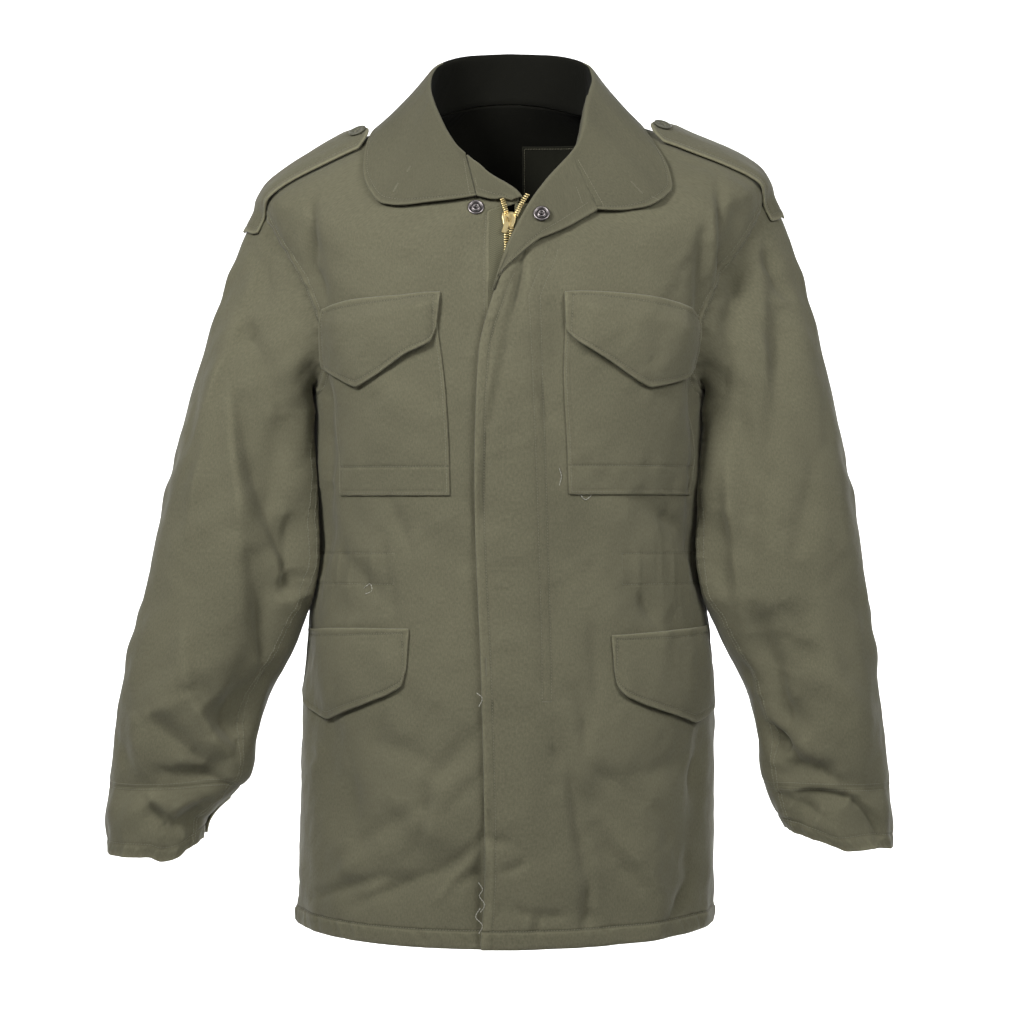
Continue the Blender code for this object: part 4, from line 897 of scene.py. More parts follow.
MAKERS = {
    "shell": shell_cloth,
    "collar": collar_cloth,
    "painted_shade_lining": lining_cloth,
    "tape": zip_tape,
    "brass": lambda: metal("brass", tint(colours().brass, 1.3), 0.3, 0.85),
    "gunmetal": lambda: metal("gunmetal", SLOT_COLOUR["gunmetal"], 0.28, 0.5),
    "thread": thread_cotton,
    "button": button_plastic,
    "paper": studio_paper,
    "pale_thread": pale_thread,
    "patch": patch_cloth,
}


def place(item, body_name="jacket", replaces=()):
    """Makes a piece ride on its body and stand for its solids."""
    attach(item, body_name)
    if replaces:
        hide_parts(*replaces)
    return item


# ---- body panels
def panel_rows():
    """Ring values for the rows of a body panel."""
    skirt = np.linspace(0.0, ARMPIT_T, 156)
    turn = np.linspace(0.0, math.pi, 76)
    sleeve = ARMPIT_T + (SHOULDER_TIP_T - ARMPIT_T) * (1 - np.cos(turn)) / 2
    yoke = np.linspace(SHOULDER_TIP_T, 1.0, 46)
    rows = np.concatenate([skirt[:-1], sleeve, yoke[1:]])
    return with_lines(rows, HEM_LINES + CASING_LINES, 0.0012)


HEM_LINES = [0.018]
CASING_LINES = [0.356, 0.388]


def hem_relief(t, s):
    """The hem's rolled edge and its puckered cord channel."""
    off = t * 0.88
    channel = smooth(off / 0.004) * smooth((0.0175 - off) / 0.004)
    pucker = waves(s + 0.4 * off, 0.0093, 0.0137, 0.023) * (0.55 + 0.45 * waves(s, 0.061, 0.097, start=1.3))
    return channel * (0.0011 + 0.0012 * pucker) + groove(off - 0.0158, 0.0009, 0.0013)


def casing_relief(t, s):
    """The drawcord's channel round the waist."""
    low, high = CASING_LINES
    middle = np.exp(-(((t - (low + high) / 2) / 0.012) ** 2))
    pucker = waves(s, 0.009, 0.0147, 0.023, start=0.7)
    near = np.exp(-(((t - (low + high) / 2) / 0.03) ** 2))
    lines = groove((t - low) * 0.85, 0.001, 0.0013) + groove((t - high) * 0.85, 0.001, 0.0013)
    return middle * 0.0005 + near * 0.0006 * pucker + lines * 0.4


def armhole_off(points, side, behind):
    """How far points of the bare form lie from the armhole's seam."""
    turn = np.linspace(0, math.pi, 140) + (math.pi if behind else 0.0)
    loop = bare_torso(*armhole_loop(turn, side))
    flat = points.reshape(-1, 3)
    near = np.full(len(flat), 1.0)
    for spot in loop:
        near = np.minimum(near, np.linalg.norm(flat - spot, axis=1))
    return near.reshape(points.shape[:-1])


def armhole_relief(points, side, behind=False):
    """The armhole's seam allowance, held down by two lines of sewing, and its puckers."""
    off = armhole_off(points, side, behind)
    band = smooth((ARMHOLE_LINES[1] + 0.0016 - off) / 0.0016)
    pucker = waves(points[..., 2] + 0.5 * points[..., 0], 0.0083, 0.0131)
    lines = groove(off - ARMHOLE_LINES[0], 0.0008, 0.0013) + groove(off - ARMHOLE_LINES[1], 0.001, 0.0013)
    return band * (0.0009 + 0.0006 * pucker) + lines


def front_lift(side, angle, t):
    """How far a front's cloth stands off the form: its rolled edge, channels, seams and grooves."""
    edge = front_edge(side, t)
    u = angle * FOLD_RADIUS
    from_edge = np.abs(angle - edge) * FOLD_RADIUS
    lift = hem_relief(t, u) + casing_relief(t, u) * smooth((np.abs(u) - 0.08) / 0.012)
    points = bare_torso(angle, t)
    lift = lift + armhole_relief(points, side) + pressed(points)
    if side > 0:
        lift = lift + fly_lift(angle, t)
        z = points[..., 2]
        full = 0.0003 + 0.0009 * smooth((z + 0.24) / 0.06)
        rope = np.sin(math.pi * np.clip(from_edge / FLY_ROPE, 0, 1)) * full
        lift = lift + rope * (1 + 0.5 * waves(z, 0.011, 0.018)) + groove(from_edge - FLY_ROPE, 0.0004, 0.001)
        from_stitch = (angle - fly_stitch(t)) * FOLD_RADIUS
        on = smooth((0.83 - t) / 0.01) * smooth((t - 0.235) / 0.01)
        pair = groove(from_stitch, 0.0003, 0.0009) + groove(from_stitch - FLY_PAIR, 0.0003, 0.0009)
        lift = lift + on * pair
    else:
        lift = lift + groove(from_edge - RIGHT_EDGE_LINE, 0.0005, 0.0012)
    return lift


FLY_ROPE, FLY_PAIR, RIGHT_EDGE_LINE = 0.0058, 0.0062, 0.0024
ARMHOLE_LINES = (0.0018, 0.0078)


def fly_stitch(t):
    return np.maximum(angle_at(FLY_STITCH.at("x", t), t), front_edge(1, t) + 0.016 / FOLD_RADIUS)


def front_panel(side):
    t = panel_rows()
    edge = front_edge(side, t)
    seam = side * (armhole_angle(t, ARMHOLE_DIP_FRONT) - seam_angle(t))
    step = side / FOLD_RADIUS
    curves, counts = [edge + off * step for off in (0, 0.0012, 0.005, 0.0075)], [2, 4, 3, 84, 8]
    if side > 0:
        curves += [fly_stitch(t) + off * step for off in (-0.0045, -0.001, 0.001, 0.0052, 0.0072)]
        counts = [2, 3, 4, 11, 3, 3, 3, 3, 66, 8]
    angle = ruled([*curves, seam - 0.01 * step, seam], counts)
    return angle, np.broadcast_to(t[:, None], angle.shape)


def make_front(side, name):
    angle, t = front_panel(side)
    from_edge = np.abs(angle - front_edge(side, t)) * FOLD_RADIUS
    points = body(angle, t, front_lift(side, angle, t))
    cut = np.stack([angle * FOLD_RADIUS, points[..., 2]], axis=-1)
    wear = np.exp(-((from_edge / 0.0012) ** 2)) * 0.35 + 0.3 * np.exp(-((t / 0.004) ** 2))
    # Inner faces more than 45 mm in from the free edge take the near-black painted shade.
    dark = from_edge > 0.045
    mats = [material("shell"), material("painted_shade_lining")]
    item = wall(f"{name}_cloth", points, torso_normal(angle, t), CLOTH, mats, cut, wear, dark=dark)
    place(item, replaces=[name])
    stitches(f"{name}_sewing", front_sewing(side))


def on_cloth(lift_of, angle, t):
    """Points on a panel's outer face, and the form's normals there."""
    return body(angle, t, lift_of(angle, t) + CLOTH / 2), torso_normal(angle, t)


def sewn_on(side, angle, t):
    """A line of stitches on a front, by its ring angles and rings."""
    angle, t = np.broadcast_arrays(np.asarray(angle, float), np.asarray(t, float))
    return on_cloth(partial(front_lift, side), angle, t)


def armhole_sewing(side, behind, lift_of):
    """The armhole's two lines of stitches."""
    turn = np.linspace(0.06, math.pi - 0.1, 160) + (math.pi if behind else 0.0)
    angle, t = armhole_loop(turn, side)
    _, _, outward = armhole_frame(turn, side)
    return [on_cloth(lift_of, *slid(angle, t, -outward * off)) for off in ARMHOLE_LINES]


def slid(angle, t, move, step=1e-3):
    """The ring angle and ring reached from a place on the form by a small move along it."""
    around = (bare_torso(angle + step, t) - bare_torso(angle - step, t)) / (2 * step)
    up = (bare_torso(angle, t + step) - bare_torso(angle, t - step)) / (2 * step)
    aa, ab, bb = (around * around).sum(-1), (around * up).sum(-1), (up * up).sum(-1)
    pa, pb = (around * move).sum(-1), (up * move).sum(-1)
    whole = aa * bb - ab * ab
    return angle + (pa * bb - pb * ab) / whole, t + (pb * aa - pa * ab) / whole


def front_sewing(side):
    """The lines of stitches on a front."""
    step = side / FOLD_RADIUS
    lines = armhole_sewing(side, False, partial(front_lift, side))
    t = np.linspace(0.019, 0.935 if side < 0 else 0.8, 400)
    off = RIGHT_EDGE_LINE if side < 0 else FLY_ROPE
    lines.append(sewn_on(side, front_edge(side, t) + off * step, t))
    if side > 0:
        t = np.linspace(0.238, 0.86, 300)
        lines += [sewn_on(side, fly_stitch(t) + off * step, t) for off in (0.0, FLY_PAIR)]
        foot = np.full(2, 0.236)
        ends = sewn_on(side, fly_stitch(foot) + np.array([0.0, FLY_PAIR]) * step, foot)
        lines += bar_tack(ends[0][0], ends[0][1], ends[1][0])
        tack = np.array([0.262, 0.28])
        ends = sewn_on(side, front_edge(side, tack) + 0.003 * step, tack)
        lines += bar_tack(ends[0][0], ends[0][1], ends[1][0], close=0.0005)
    low = front_edge(side, np.full(200, HEM_LINES[0]))
    angle = low + (side * SIDE - low) * np.linspace(0.015, 0.99, 200)
    lines.append(sewn_on(side, angle, HEM_LINES[0]))
    for t in CASING_LINES:
        around = np.linspace(0.085, 0.249, 120) * step
        lines.append(sewn_on(side, around, t))
    ends = sewn_on(side, np.full(2, 0.0845 * step), np.array(CASING_LINES))
    lines += bar_tack(ends[0][0], ends[0][1], ends[1][0], wide=0.0012)
    return lines


def make_back():
    t = panel_rows()
    seam = armhole_angle(t, ARMHOLE_DIP_BACK) - seam_angle(t)
    step = 1 / FOLD_RADIUS
    curves = [math.pi - seam + off * step for off in (0, 0.002, 0.01)]
    curves += [math.pi + seam - off * step for off in (0.01, 0.002, 0)]
    angle = ruled(curves, [3, 4, 92, 4, 3])
    rows = np.broadcast_to(t[:, None], angle.shape)
    points = body(angle, rows, back_lift(angle, rows))
    cut = np.stack([angle * FOLD_RADIUS, points[..., 2]], axis=-1)
    mats = [material("shell"), material("painted_shade_lining")]
    # All the back's inner faces, and its rim at the neck, take the near-black painted shade.
    item = wall("back_cloth", points, torso_normal(angle, rows), CLOTH, mats, cut, dark=True, painted_shade_top=True)
    place(item, replaces=["back"])
    lines = [line for side in (-1, 1) for line in armhole_sewing(side, True, back_lift)]
    around = np.linspace(SIDE * 1.01, SIDE * 2.99, 500)
    lines += [on_cloth(back_lift, around, np.full(500, line)) for line in HEM_LINES + CASING_LINES]
    stitches("back_sewing", lines)


def back_lift(angle, t):
    """How far the back's cloth stands off the form."""
    u = angle * FOLD_RADIUS
    points = bare_torso(angle, t)
    lift = hem_relief(t, u) + casing_relief(t, u)
    for side in (-1, 1):
        lift = lift + armhole_relief(points, side, behind=True) * (side * points[..., 0] > 0)
    return lift


# ---- sleeves
SLEEVE_RIGHT = Table("""z x half y deep
    -0.668 0.324 0.041 -0.04 0.044
    -0.64 0.322 0.0445 -0.04 0.048
    -0.595 0.2998 0.0632 -0.038 0.056
    -0.54 0.2913 0.0657 -0.036 0.062
    -0.484 0.2725 0.0745 -0.034 0.064
    -0.455 0.263 0.077 -0.032 0.0655
    -0.428 0.252 0.0799 -0.03 0.0665
    -0.36 0.2453 0.0733 -0.025 0.068
    -0.3 0.2418 0.0639 -0.014 0.069
""")
SLEEVE_LEFT = Table("""z x half y deep
    -0.668 0.3155 0.036 -0.04 0.043
    -0.64 0.3015 0.049 -0.04 0.048
    -0.595 0.2907 0.0572 -0.038 0.056
    -0.54 0.2838 0.0576 -0.036 0.061
    -0.484 0.269 0.0672 -0.034 0.064
    -0.455 0.2603 0.0723 -0.032 0.0655
    -0.428 0.2503 0.0783 -0.03 0.0665
    -0.36 0.2458 0.0738 -0.025 0.068
    -0.3 0.2438 0.0658 -0.014 0.069
""")
SLEEVE_CLEAR = 0.0022
SLEEVE_COLUMNS = 182
CAP_FULLNESS = {"right": (0.025, 0.092), "left": (0.028, 0.11)}
SLEEVE_FOLDS = Table("""u0 z0 u1 z1 width depth
    0.06 -0.59 0.17 -0.61 0.014 -0.006
    0.075 -0.33 0.06 -0.56 0.018 -0.007
    0.3 -0.45 0.36 -0.56 0.02 -0.006
    0.33 -0.3 0.3 -0.42 0.022 -0.006
    0.11 -0.48 0.14 -0.57 0.018 0.004
""")
SLEEVE_TOP_Z = -0.3
SLEEVE_HEM_Z = {"right": -0.6655, "left": -0.661}
# How much a cuff's hem rises round the wrist. inward is 1 on the body's side and -1 away from it.
HEM_RISE = {
    "right": Table("""inward z
    -1 0
    0 0
    0.26 -0.004
    0.54 -0.002
    0.8 0.005
    1 0.012
    """),
    "left": Table("""inward z
    -1 0
    -0.6 0.003
    0.1 0.001
    0.48 0.0085
    0.9 0.016
    1 0.018
    """),
}
# Creases on the front of each sleeve, as for FRONT_CREASES.
SLEEVE_CREASES = {
    "right": Table("""x0 z0 x1 z1 bow left right depth
    -219 -100 -306 -346 3 2.7 5.4 2
    -262 -225 -289 -372 1 2.7 4.5 1.4
    -249 -226 -236 -378 -3 5 5 2.6
    -246 -238 -189 -412 -10 15 4.5 -6.5
    -234 -380 -215 -508 2 12 4.5 -7
    -217 -490 -241 -562 -2 6.3 8.1 -6.5
    -197 -409 -185 -434 0 5.4 5.4 -4
    -241 -178 -199 -270 -1 5.4 4.5 -2.8
    -246 -240 -240 -258 0 2.7 2.7 -1.6
    -243 -185 -233 -201 0 3.6 3.6 -1.2
    -233 -114 -219 -158 2 4.5 4.5 -1.8
    -174 -235 -182 -264 0 3.6 3.6 -2.2
    -161 -251 -176 -292 0 3.6 3.6 -2.4
    -175 -289 -189 -312 0 3.6 3.6 -2
    -165 -316 -176 -348 0 3.6 3.6 -2.4
    -185 -339 -195 -400 0 4.5 4.5 -1.8
    -168 -264 -184 -301 3 3.6 3.6 1.4
    -157 -282 -166 -328 0 3.6 3.6 -2.4
    -291 -459 -284 -516 0 3.6 5.4 1.8
    -284 -513 -265 -555 0 4.5 3.6 2.2
    -265 -551 -250 -577 0 4.5 3.6 2
    -284 -521 -320 -535 0 4.5 3.6 1.6
    -319 -534 -337 -549 -3 4.5 3.6 1.4
    -337 -547 -324 -594 0 4.5 3.6 1.3
    -273 -528 -242 -563 0 11.6 4.5 -5.5
    -327 -538 -267 -579 0 5.4 4.5 -3.8
    -288 -568 -272 -580 0 2.7 2.7 -1.6
    -304 -589 -247 -606 7 3.6 6.3 -5.5
    -315 -604 -268 -619 2 4.5 5.4 -1.8
    -323 -615 -304 -639 -1 4.5 4.5 -3.8
    -305 -638 -276 -620 -3 3.6 5.4 -3.8
    -327 -608 -306 -624 0 3.6 3.6 1.6
    -306 -624 -276 -615 2 3.6 2.7 1.6
    -347 -516 -336 -483 0 2.7 3.6 1.2
    -351 -557 -344 -588 0 3.6 3.6 -1.4
    -279 -362 -284 -434 0 7.2 7.2 -1
    -311 -398 -320 -470 0 8.1 8.1 -1
    -190 -258 -192 -345 0 9 9 2.8
    -205 -262 -205 -360 0 7 6 -2.8
    -193 -350 -196 -440 0 6 6 -3.2
    -282 -250 -300 -330 0 7 7 -1.2
    -322 -420 -338 -500 0 6 6 1.2
    -262 -448 -258 -520 0 8 8 1.6
    """),
    "left": Table("""x0 z0 x1 z1 bow left right depth
    223 -96 233 -230 3 4.5 4.5 2.2
    240 -163 242 -231 0 7.2 4.5 -2.4
    235 -113 242 -138 0 3.6 3.6 -2.6
    240 -136 260 -166 0 3.6 3.6 -2
    241 -158 260 -166 0 2.7 2.7 1.4
    249 -178 219 -352 7 6.3 5.4 -3.2
    204 -284 211 -444 -3 5.4 4.5 2.6
    274 -324 257 -397 1 6.3 5.4 -2.4
    240 -437 261 -471 4 8.9 12.5 -3
    261 -466 249 -500 2 8.9 10.7 -2.6
    231 -462 236 -518 0 10.7 10.7 -3.4
    252 -523 273 -557 0 10.7 8.1 -2.6
    209 -432 242 -436 0 7.2 7.2 1.8
    203 -487 219 -525 0 3.6 5.4 -2.6
    219 -522 230 -545 0 2.7 5.4 -3.4
    227 -539 255 -572 -2 2.7 8.1 -5.5
    229 -557 255 -568 0 4.5 5.4 -3
    251 -581 295 -595 4 3.6 5.4 -5
    236 -588 262 -598 0 4.5 4.5 -2.2
    253 -610 309 -613 4 2.7 7.2 -6
    308 -613 340 -653 5 2.7 8.1 -6
    253 -606 309 -607 4 2.7 2.7 1.8
    256 -617 280 -628 0 3.6 5.4 -3.2
    212 -108 191 -262 1 4.5 5.4 -4
    302 -398 306 -479 0 8.1 8.1 -1
    288 -282 295 -344 0 7.2 7.2 -1
    261 -398 272 -434 0 7.2 7.2 -1.2
    281 -586 299 -581 0 3.6 3.6 -1.2
    190 -250 192 -350 0 9 9 2.8
    205 -232 216 -330 0 6 7 -2.8
    193 -350 196 -440 0 6 6 -3.2
    292 -300 312 -400 0 7 7 1.4
    262 -250 280 -330 0 8 8 -1.6
    300 -500 326 -560 0 7 7 1.6
    """),
}
# The same for the backs of both sleeves, mirrored: x is measured away from the body.
SLEEVE_BACK_CREASES = Table("""x0 z0 x1 z1 bow left right depth
    240 -330 290 -420 6 12 8 -4
    300 -300 276 -390 4 9 6 -3
    225 -400 262 -470 -5 8 6 -4.5
    300 -430 262 -500 6 9 6 -4.5
    240 -500 300 -540 6 8 6 -5
    330 -520 280 -575 -6 9 6 -4.5
    265 -590 330 -600 4 6 5 -4
    320 -640 350 -618 3 5 4 -3
""")


def armhole_loop(turn, side):
    """Ring angle and t round an armhole: turn is 0 at the armpit and pi at the shoulder, up the front."""
    t = ARMPIT_T + (SHOULDER_TIP_T - ARMPIT_T) * (1 - np.cos(turn)) / 2
    before = armhole_angle(t, ARMHOLE_DIP_FRONT)
    behind = math.pi - armhole_angle(t, ARMHOLE_DIP_BACK)
    return side * np.where(turn % (2 * math.pi) <= math.pi, before, behind), t


def armhole_frame(turn, side):
    """Points round the armhole, the body's normals there, and the way out of the body panel at each."""
    angle, t = armhole_loop(turn, side)
    step = 1e-3
    along = unit(bare_torso(*armhole_loop(turn + step, side)) - bare_torso(*armhole_loop(turn - step, side)))
    normal = torso_normal(angle, t)
    return body(angle, t), normal, unit(np.cross(along, normal)) * side


def body_half_width(y, z):
    """Half the width of the bare form below the armholes, at this depth and height."""
    t = np.interp(z, TORSO.column("z_side"), TORSO.column("t"))
    power = 2 / squareness(t)
    depth = np.where(y < 0, TORSO.at("front", t), TORSO.at("back", t))
    return TORSO.at("half", t) * np.clip(1 - np.abs(y / depth) ** power, 0, 1) ** (1 / power)


def sleeve_section(table, turn, z, side):
    """A level section of the sleeve, pressed against the body but clear of it."""
    across, deep = np.cos(turn), np.sin(turn)
    x = table.at("x", z) - table.at("half", z) * np.sign(across) * np.abs(across) ** 0.92
    y = table.at("y", z) - table.at("deep", z) * np.sign(deep) * np.abs(deep) ** 0.92
    least = body_half_width(y, z) + SLEEVE_CLEAR
    soft = 0.004
    x = (x + least + np.sqrt((x - least) ** 2 + soft**2)) / 2
    return np.stack(np.broadcast_arrays(side * x, y, z), axis=-1)


def sleeve_form(name, side, heights, cap_rows, columns):
    """Middle points, normals and turns of a sleeve, from its armhole down to the last of the heights."""
    table = SLEEVE_RIGHT if side < 0 else SLEEVE_LEFT
    leave_length, arrive_length = CAP_FULLNESS[name]
    turn = np.arange(columns) / columns * 2 * math.pi
    low = (np.cos(turn) * 0.5 + 0.5)[:, None]
    loop, loop_normal, outward = armhole_frame(turn, side)
    start = loop + outward * SEAM_GAP
    fall = unit(outward + np.array([1.1 * side, 0, 0]) * (1 - low) ** 2)
    leave = start + (leave_length * (1 - 0.6 * low)) * fall + 0.006 * low * loop_normal
    top = heights[0]
    end = sleeve_section(table, turn, np.full(columns, top), side)
    below = sleeve_section(table, turn, np.full(columns, top - 0.01), side)
    arrive = end + unit(end - below) * arrive_length * (1 - 0.74 * low)
    rows = []
    for s in np.linspace(0, 1, cap_rows)[:-1]:
        early, late = start * (1 - s) + leave * 3 * s, arrive * 3 * (1 - s) + end * s
        rows.append(early * (1 - s) ** 2 + late * s * s)
    rise = HEM_RISE[name].at("z", np.cos(turn))
    for z in heights:
        share = smooth((CUFF_Z - z) / (CUFF_Z - SLEEVE_HEM_Z[name]))
        rows.append(sleeve_section(table, turn, z + share * rise, side))
    points = np.array(rows)
    normals = grid_normals(points, tube=True)
    away = points - points.mean(axis=1, keepdims=True)
    normals *= np.sign((normals * away).sum())
    normals[0] = loop_normal
    around = np.where(turn <= math.pi, turn, 2 * math.pi - turn) * SLEEVE_FOLD_RADIUS
    down = smooth((-0.26 - points[..., 2]) / 0.06)
    moved = folded(np.broadcast_to(around, down.shape), points[..., 2], SLEEVE_FOLDS) * down
    return points + normals * moved[..., None], normals, turn


ARMPIT_Z, LIES_OFF = -0.235, 0.0008  # under this height a sleeve lies against the body, this far off
SEAM_COLUMNS = (14, 16)  # of a sleeve: the two lines of sewing along its seam
CUFF_LINE, CUFF_HEM = 0.0024, 0.012  # from the cuff's seam down, and from its hem up


def make_sleeve(side, name):
    hem = SLEEVE_HEM_Z[name]
    heights = np.concatenate([np.linspace(SLEEVE_TOP_Z, CUFF_Z, 112), np.linspace(CUFF_Z, hem, 38)[1:]])
    heights = np.sort(np.concatenate([heights, [hem + 0.0008, hem + 0.002]]))[::-1]
    points, normals, turn = sleeve_form(name, side, heights, 54, SLEEVE_COLUMNS)
    x, z = points[..., 0], points[..., 2]
    before = smooth(0.5 - 1.6 * normals[..., 1])
    moved = before * creased(x, z, SLEEVE_CREASES[name], 2.1)
    moved = moved + (1 - before) * creased(side * x, z, SLEEVE_BACK_CREASES, 1.3)
    moved = moved * (1 - smooth((-side * normals[..., 0] - 0.8) / 0.18))
    moved = moved * (1 - 0.8 * smooth((side * normals[..., 0] - 0.7) / 0.25))
    around = turn[None, :] * SLEEVE_FOLD_RADIUS
    moved = moved + 0.0016 * waves(around + 0.5 * z, 0.043, 0.091) * waves(z - 0.4 * around, 0.067, 0.12)
    moved = moved + 0.0004 * waves(around - 0.6 * z, 0.023, 0.037) * waves(z + 0.4 * around, 0.053, 0.087)
    row = np.arange(len(points))[:, None]
    moved = moved * smooth(row / 14.0)
    moved = moved + 0.0008 * waves(around, 0.0093, 0.0151) * smooth(row / 3.0) * np.exp(-((row / 7.0) ** 2))
    down = smooth((row - 20) / 20.0)
    seam = np.mean(SEAM_COLUMNS) * SLEEVE_FOLD_RADIUS * 2 * math.pi / SLEEVE_COLUMNS
    pucker = 0.0005 + 0.0007 * waves(z, 0.0078, 0.0123)
    moved = moved + down * pucker * np.exp(-(((around - seam) / 0.0045) ** 2))
    last = len(points) - len(heights) + int(np.argmin(np.abs(heights - CUFF_Z)))
    from_cuff = z - z[last]
    for line in (CUFF_LINE, -CUFF_LINE):
        moved = moved + groove(from_cuff - line, 0.0006, 0.0014)
    ribs = waves(around + 0.6 * z, 0.0088, 0.0137, 0.021)
    from_hem = z - z[-1:]
    near_hem = smooth((CUFF_HEM - from_hem) / 0.004)
    moved = moved + near_hem * (0.0004 + 0.0003 * ribs) + groove(from_hem - CUFF_HEM, 0.0006, 0.0014)
    points = points + normals * moved[..., None]
    lying = side * (body_half_width(points[..., 1], points[..., 2]) + LIES_OFF)
    near = smooth((-side * normals[..., 0] - 0.65) / 0.3) * smooth((ARMPIT_Z - z) / 0.03)
    near = near * smooth((z + 0.45) / 0.06)
    points[..., 0] += np.clip(lying - points[..., 0], -0.007, 0.007) * near
    cut = np.stack([np.broadcast_to(around, z.shape), z], axis=-1)
    mats = [material("shell"), material("painted_shade_lining")]
    # All inner faces of sleeve and cuff take the near-black painted shade.
    tube, upper = {"tube": True, "dark": True}, slice(last + 1)
    form = points[upper], normals[upper], SLEEVE_CLOTH
    sleeve = wall(f"sleeve_{name}_cloth", *form, mats, cut[upper], **tube)
    place(sleeve, replaces=[f"sleeve_{name}"])
    lower = points[last:].copy()
    lower[0] += unit(lower[1] - lower[0]) * SEAM_GAP
    wear = np.exp(-((from_hem[last:] / 0.003) ** 2)) * 0.5
    cuff = wall(f"cuff_{name}_cloth", lower, normals[last:], SLEEVE_CLOTH, mats, cut[last:], wear, **tube)
    place(cuff, replaces=[f"cuff_{name}"])
    out = normals * SLEEVE_CLOTH / 2
    lines = [(points[18:, k] + out[18:, k], normals[18:, k]) for k in SEAM_COLUMNS]
    closed = np.append(np.arange(SLEEVE_COLUMNS), 0)
    for height in (z[last].mean() - CUFF_LINE, z[last].mean() + CUFF_LINE):
        k = int(np.argmin(np.abs(z.mean(axis=1) - height)))
        lines.append((points[k, closed] + out[k, closed], normals[k, closed]))
    k = len(points) - 1 - int(np.argmin(np.abs(from_hem.mean(axis=1)[::-1] - CUFF_HEM)))
    lines.append((points[k, closed] + out[k, closed], normals[k, closed]))
    stitches(f"sleeve_{name}_sewing", lines)


# ---- what lies on the body
def on_body(around, z, lift):
    """Points and normals on the body from a flat place on it: around is ring angle times 0.16 m."""
    angle = np.asarray(around) / FOLD_RADIUS
    t = t_at(angle, z)
    lift = lift + np.where(angle > 0, fly_lift(angle, t), 0.0)
    return body(angle, t, lift), torso_normal(angle, t)


CHEST_FLAPS = {
    "right": Table("""share top_u top_z low_u low_z
    0 -0.041 -0.1614 -0.0455 -0.193
    0.08 -0.05 -0.1615 -0.05 -0.205
    0.24 -0.07 -0.1635 -0.069 -0.2155
    0.6 -0.113 -0.166 -0.119 -0.2435
    0.84 -0.14 -0.17 -0.149 -0.232
    1 -0.1555 -0.173 -0.1755 -0.2245
    """),
    "left": Table("""share top_u top_z low_u low_z
    0 0.0275 -0.1614 0.032 -0.195
    0.08 0.04 -0.1605 0.04 -0.205
    0.2 0.056 -0.161 0.058 -0.2174
    0.56 0.102 -0.165 0.105 -0.2439
    0.86 0.144 -0.1735 0.154 -0.2328
    1 0.1605 -0.18 0.172 -0.2245
    """),
}
HIP_FLAPS = {
    "right": Table("""share top_u top_z low_u low_z
    0 -0.069 -0.459 -0.0695 -0.494
    0.06 -0.08 -0.459 -0.073 -0.508
    0.15 -0.094 -0.459 -0.0865 -0.517
    0.5 -0.152 -0.46 -0.1575 -0.5406
    0.9 -0.208 -0.462 -0.22 -0.527
    1 -0.222 -0.462 -0.231 -0.519
    """),
    "left": Table("""share top_u top_z low_u low_z
    0 0.073 -0.4647 0.074 -0.496
    0.05 0.08 -0.4645 0.076 -0.508
    0.12 0.09 -0.464 0.082 -0.5165
    0.5 0.152 -0.461 0.165 -0.544
    0.9 0.205 -0.4595 0.22 -0.53
    1 0.217 -0.459 0.228 -0.521
    """),
}
CHEST_POCKETS = {
    "right": Table("""z inner outer
    -0.34 -0.038 -0.149
    -0.29 -0.0395 -0.156
    -0.232 -0.043 -0.166
    -0.186 -0.0455 -0.164
    """),
    "left": Table("""z inner outer
    -0.339 0.0385 0.188
    -0.288 0.0365 0.193
    -0.26 0.0345 0.176
    -0.233 0.033 0.158
    -0.187 0.031 0.152
    """),
}
FLAP_SWELL, POCKET_SWELL, LIE_GAP = 0.003, 0.004, 0.0004
STITCH_IN = 0.0045
STITCH_ROW = 4  # the row or column of a doubled piece's grid that its stitches follow
POCKET_HEM = 0.0255


def shares(length, spacing, both=True):
    """Places from 0 to 1 along a length, close together at its sewn edges."""
    near = np.array([0.0, 0.0007, 0.0018, *(STITCH_IN + off for off in (-0.001, 0.0, 0.001, 0.003))])
    even = np.linspace(0, length, max(4, round(length / spacing)))
    inner = even[(even > STITCH_IN + 0.004) & (even < length - (STITCH_IN + 0.004 if both else 0.0))]
    far = length - near[::-1] if both else np.array([length])
    return np.concatenate([near, inner, far]) / length


def edge_relief(off):
    """A doubled edge: full between its rim and its stitches, pulled in along them."""
    return 0.0001 * np.sin(math.pi * np.clip(off / STITCH_IN, 0, 1)) + groove(off - STITCH_IN, 0.0004, 0.0008)


def sewn_round(name, points, normals):
    """Stitches all round a doubled piece, in from its edges."""
    out, k = points + normals * DOUBLE / 2, STITCH_ROW
    picks = [(slice(k, -k), k), (slice(k, -k), -1 - k), (k, slice(k, -k)), (-1 - k, slice(k, -k))]
    stitches(name, [(out[pick], normals[pick]) for pick in picks])


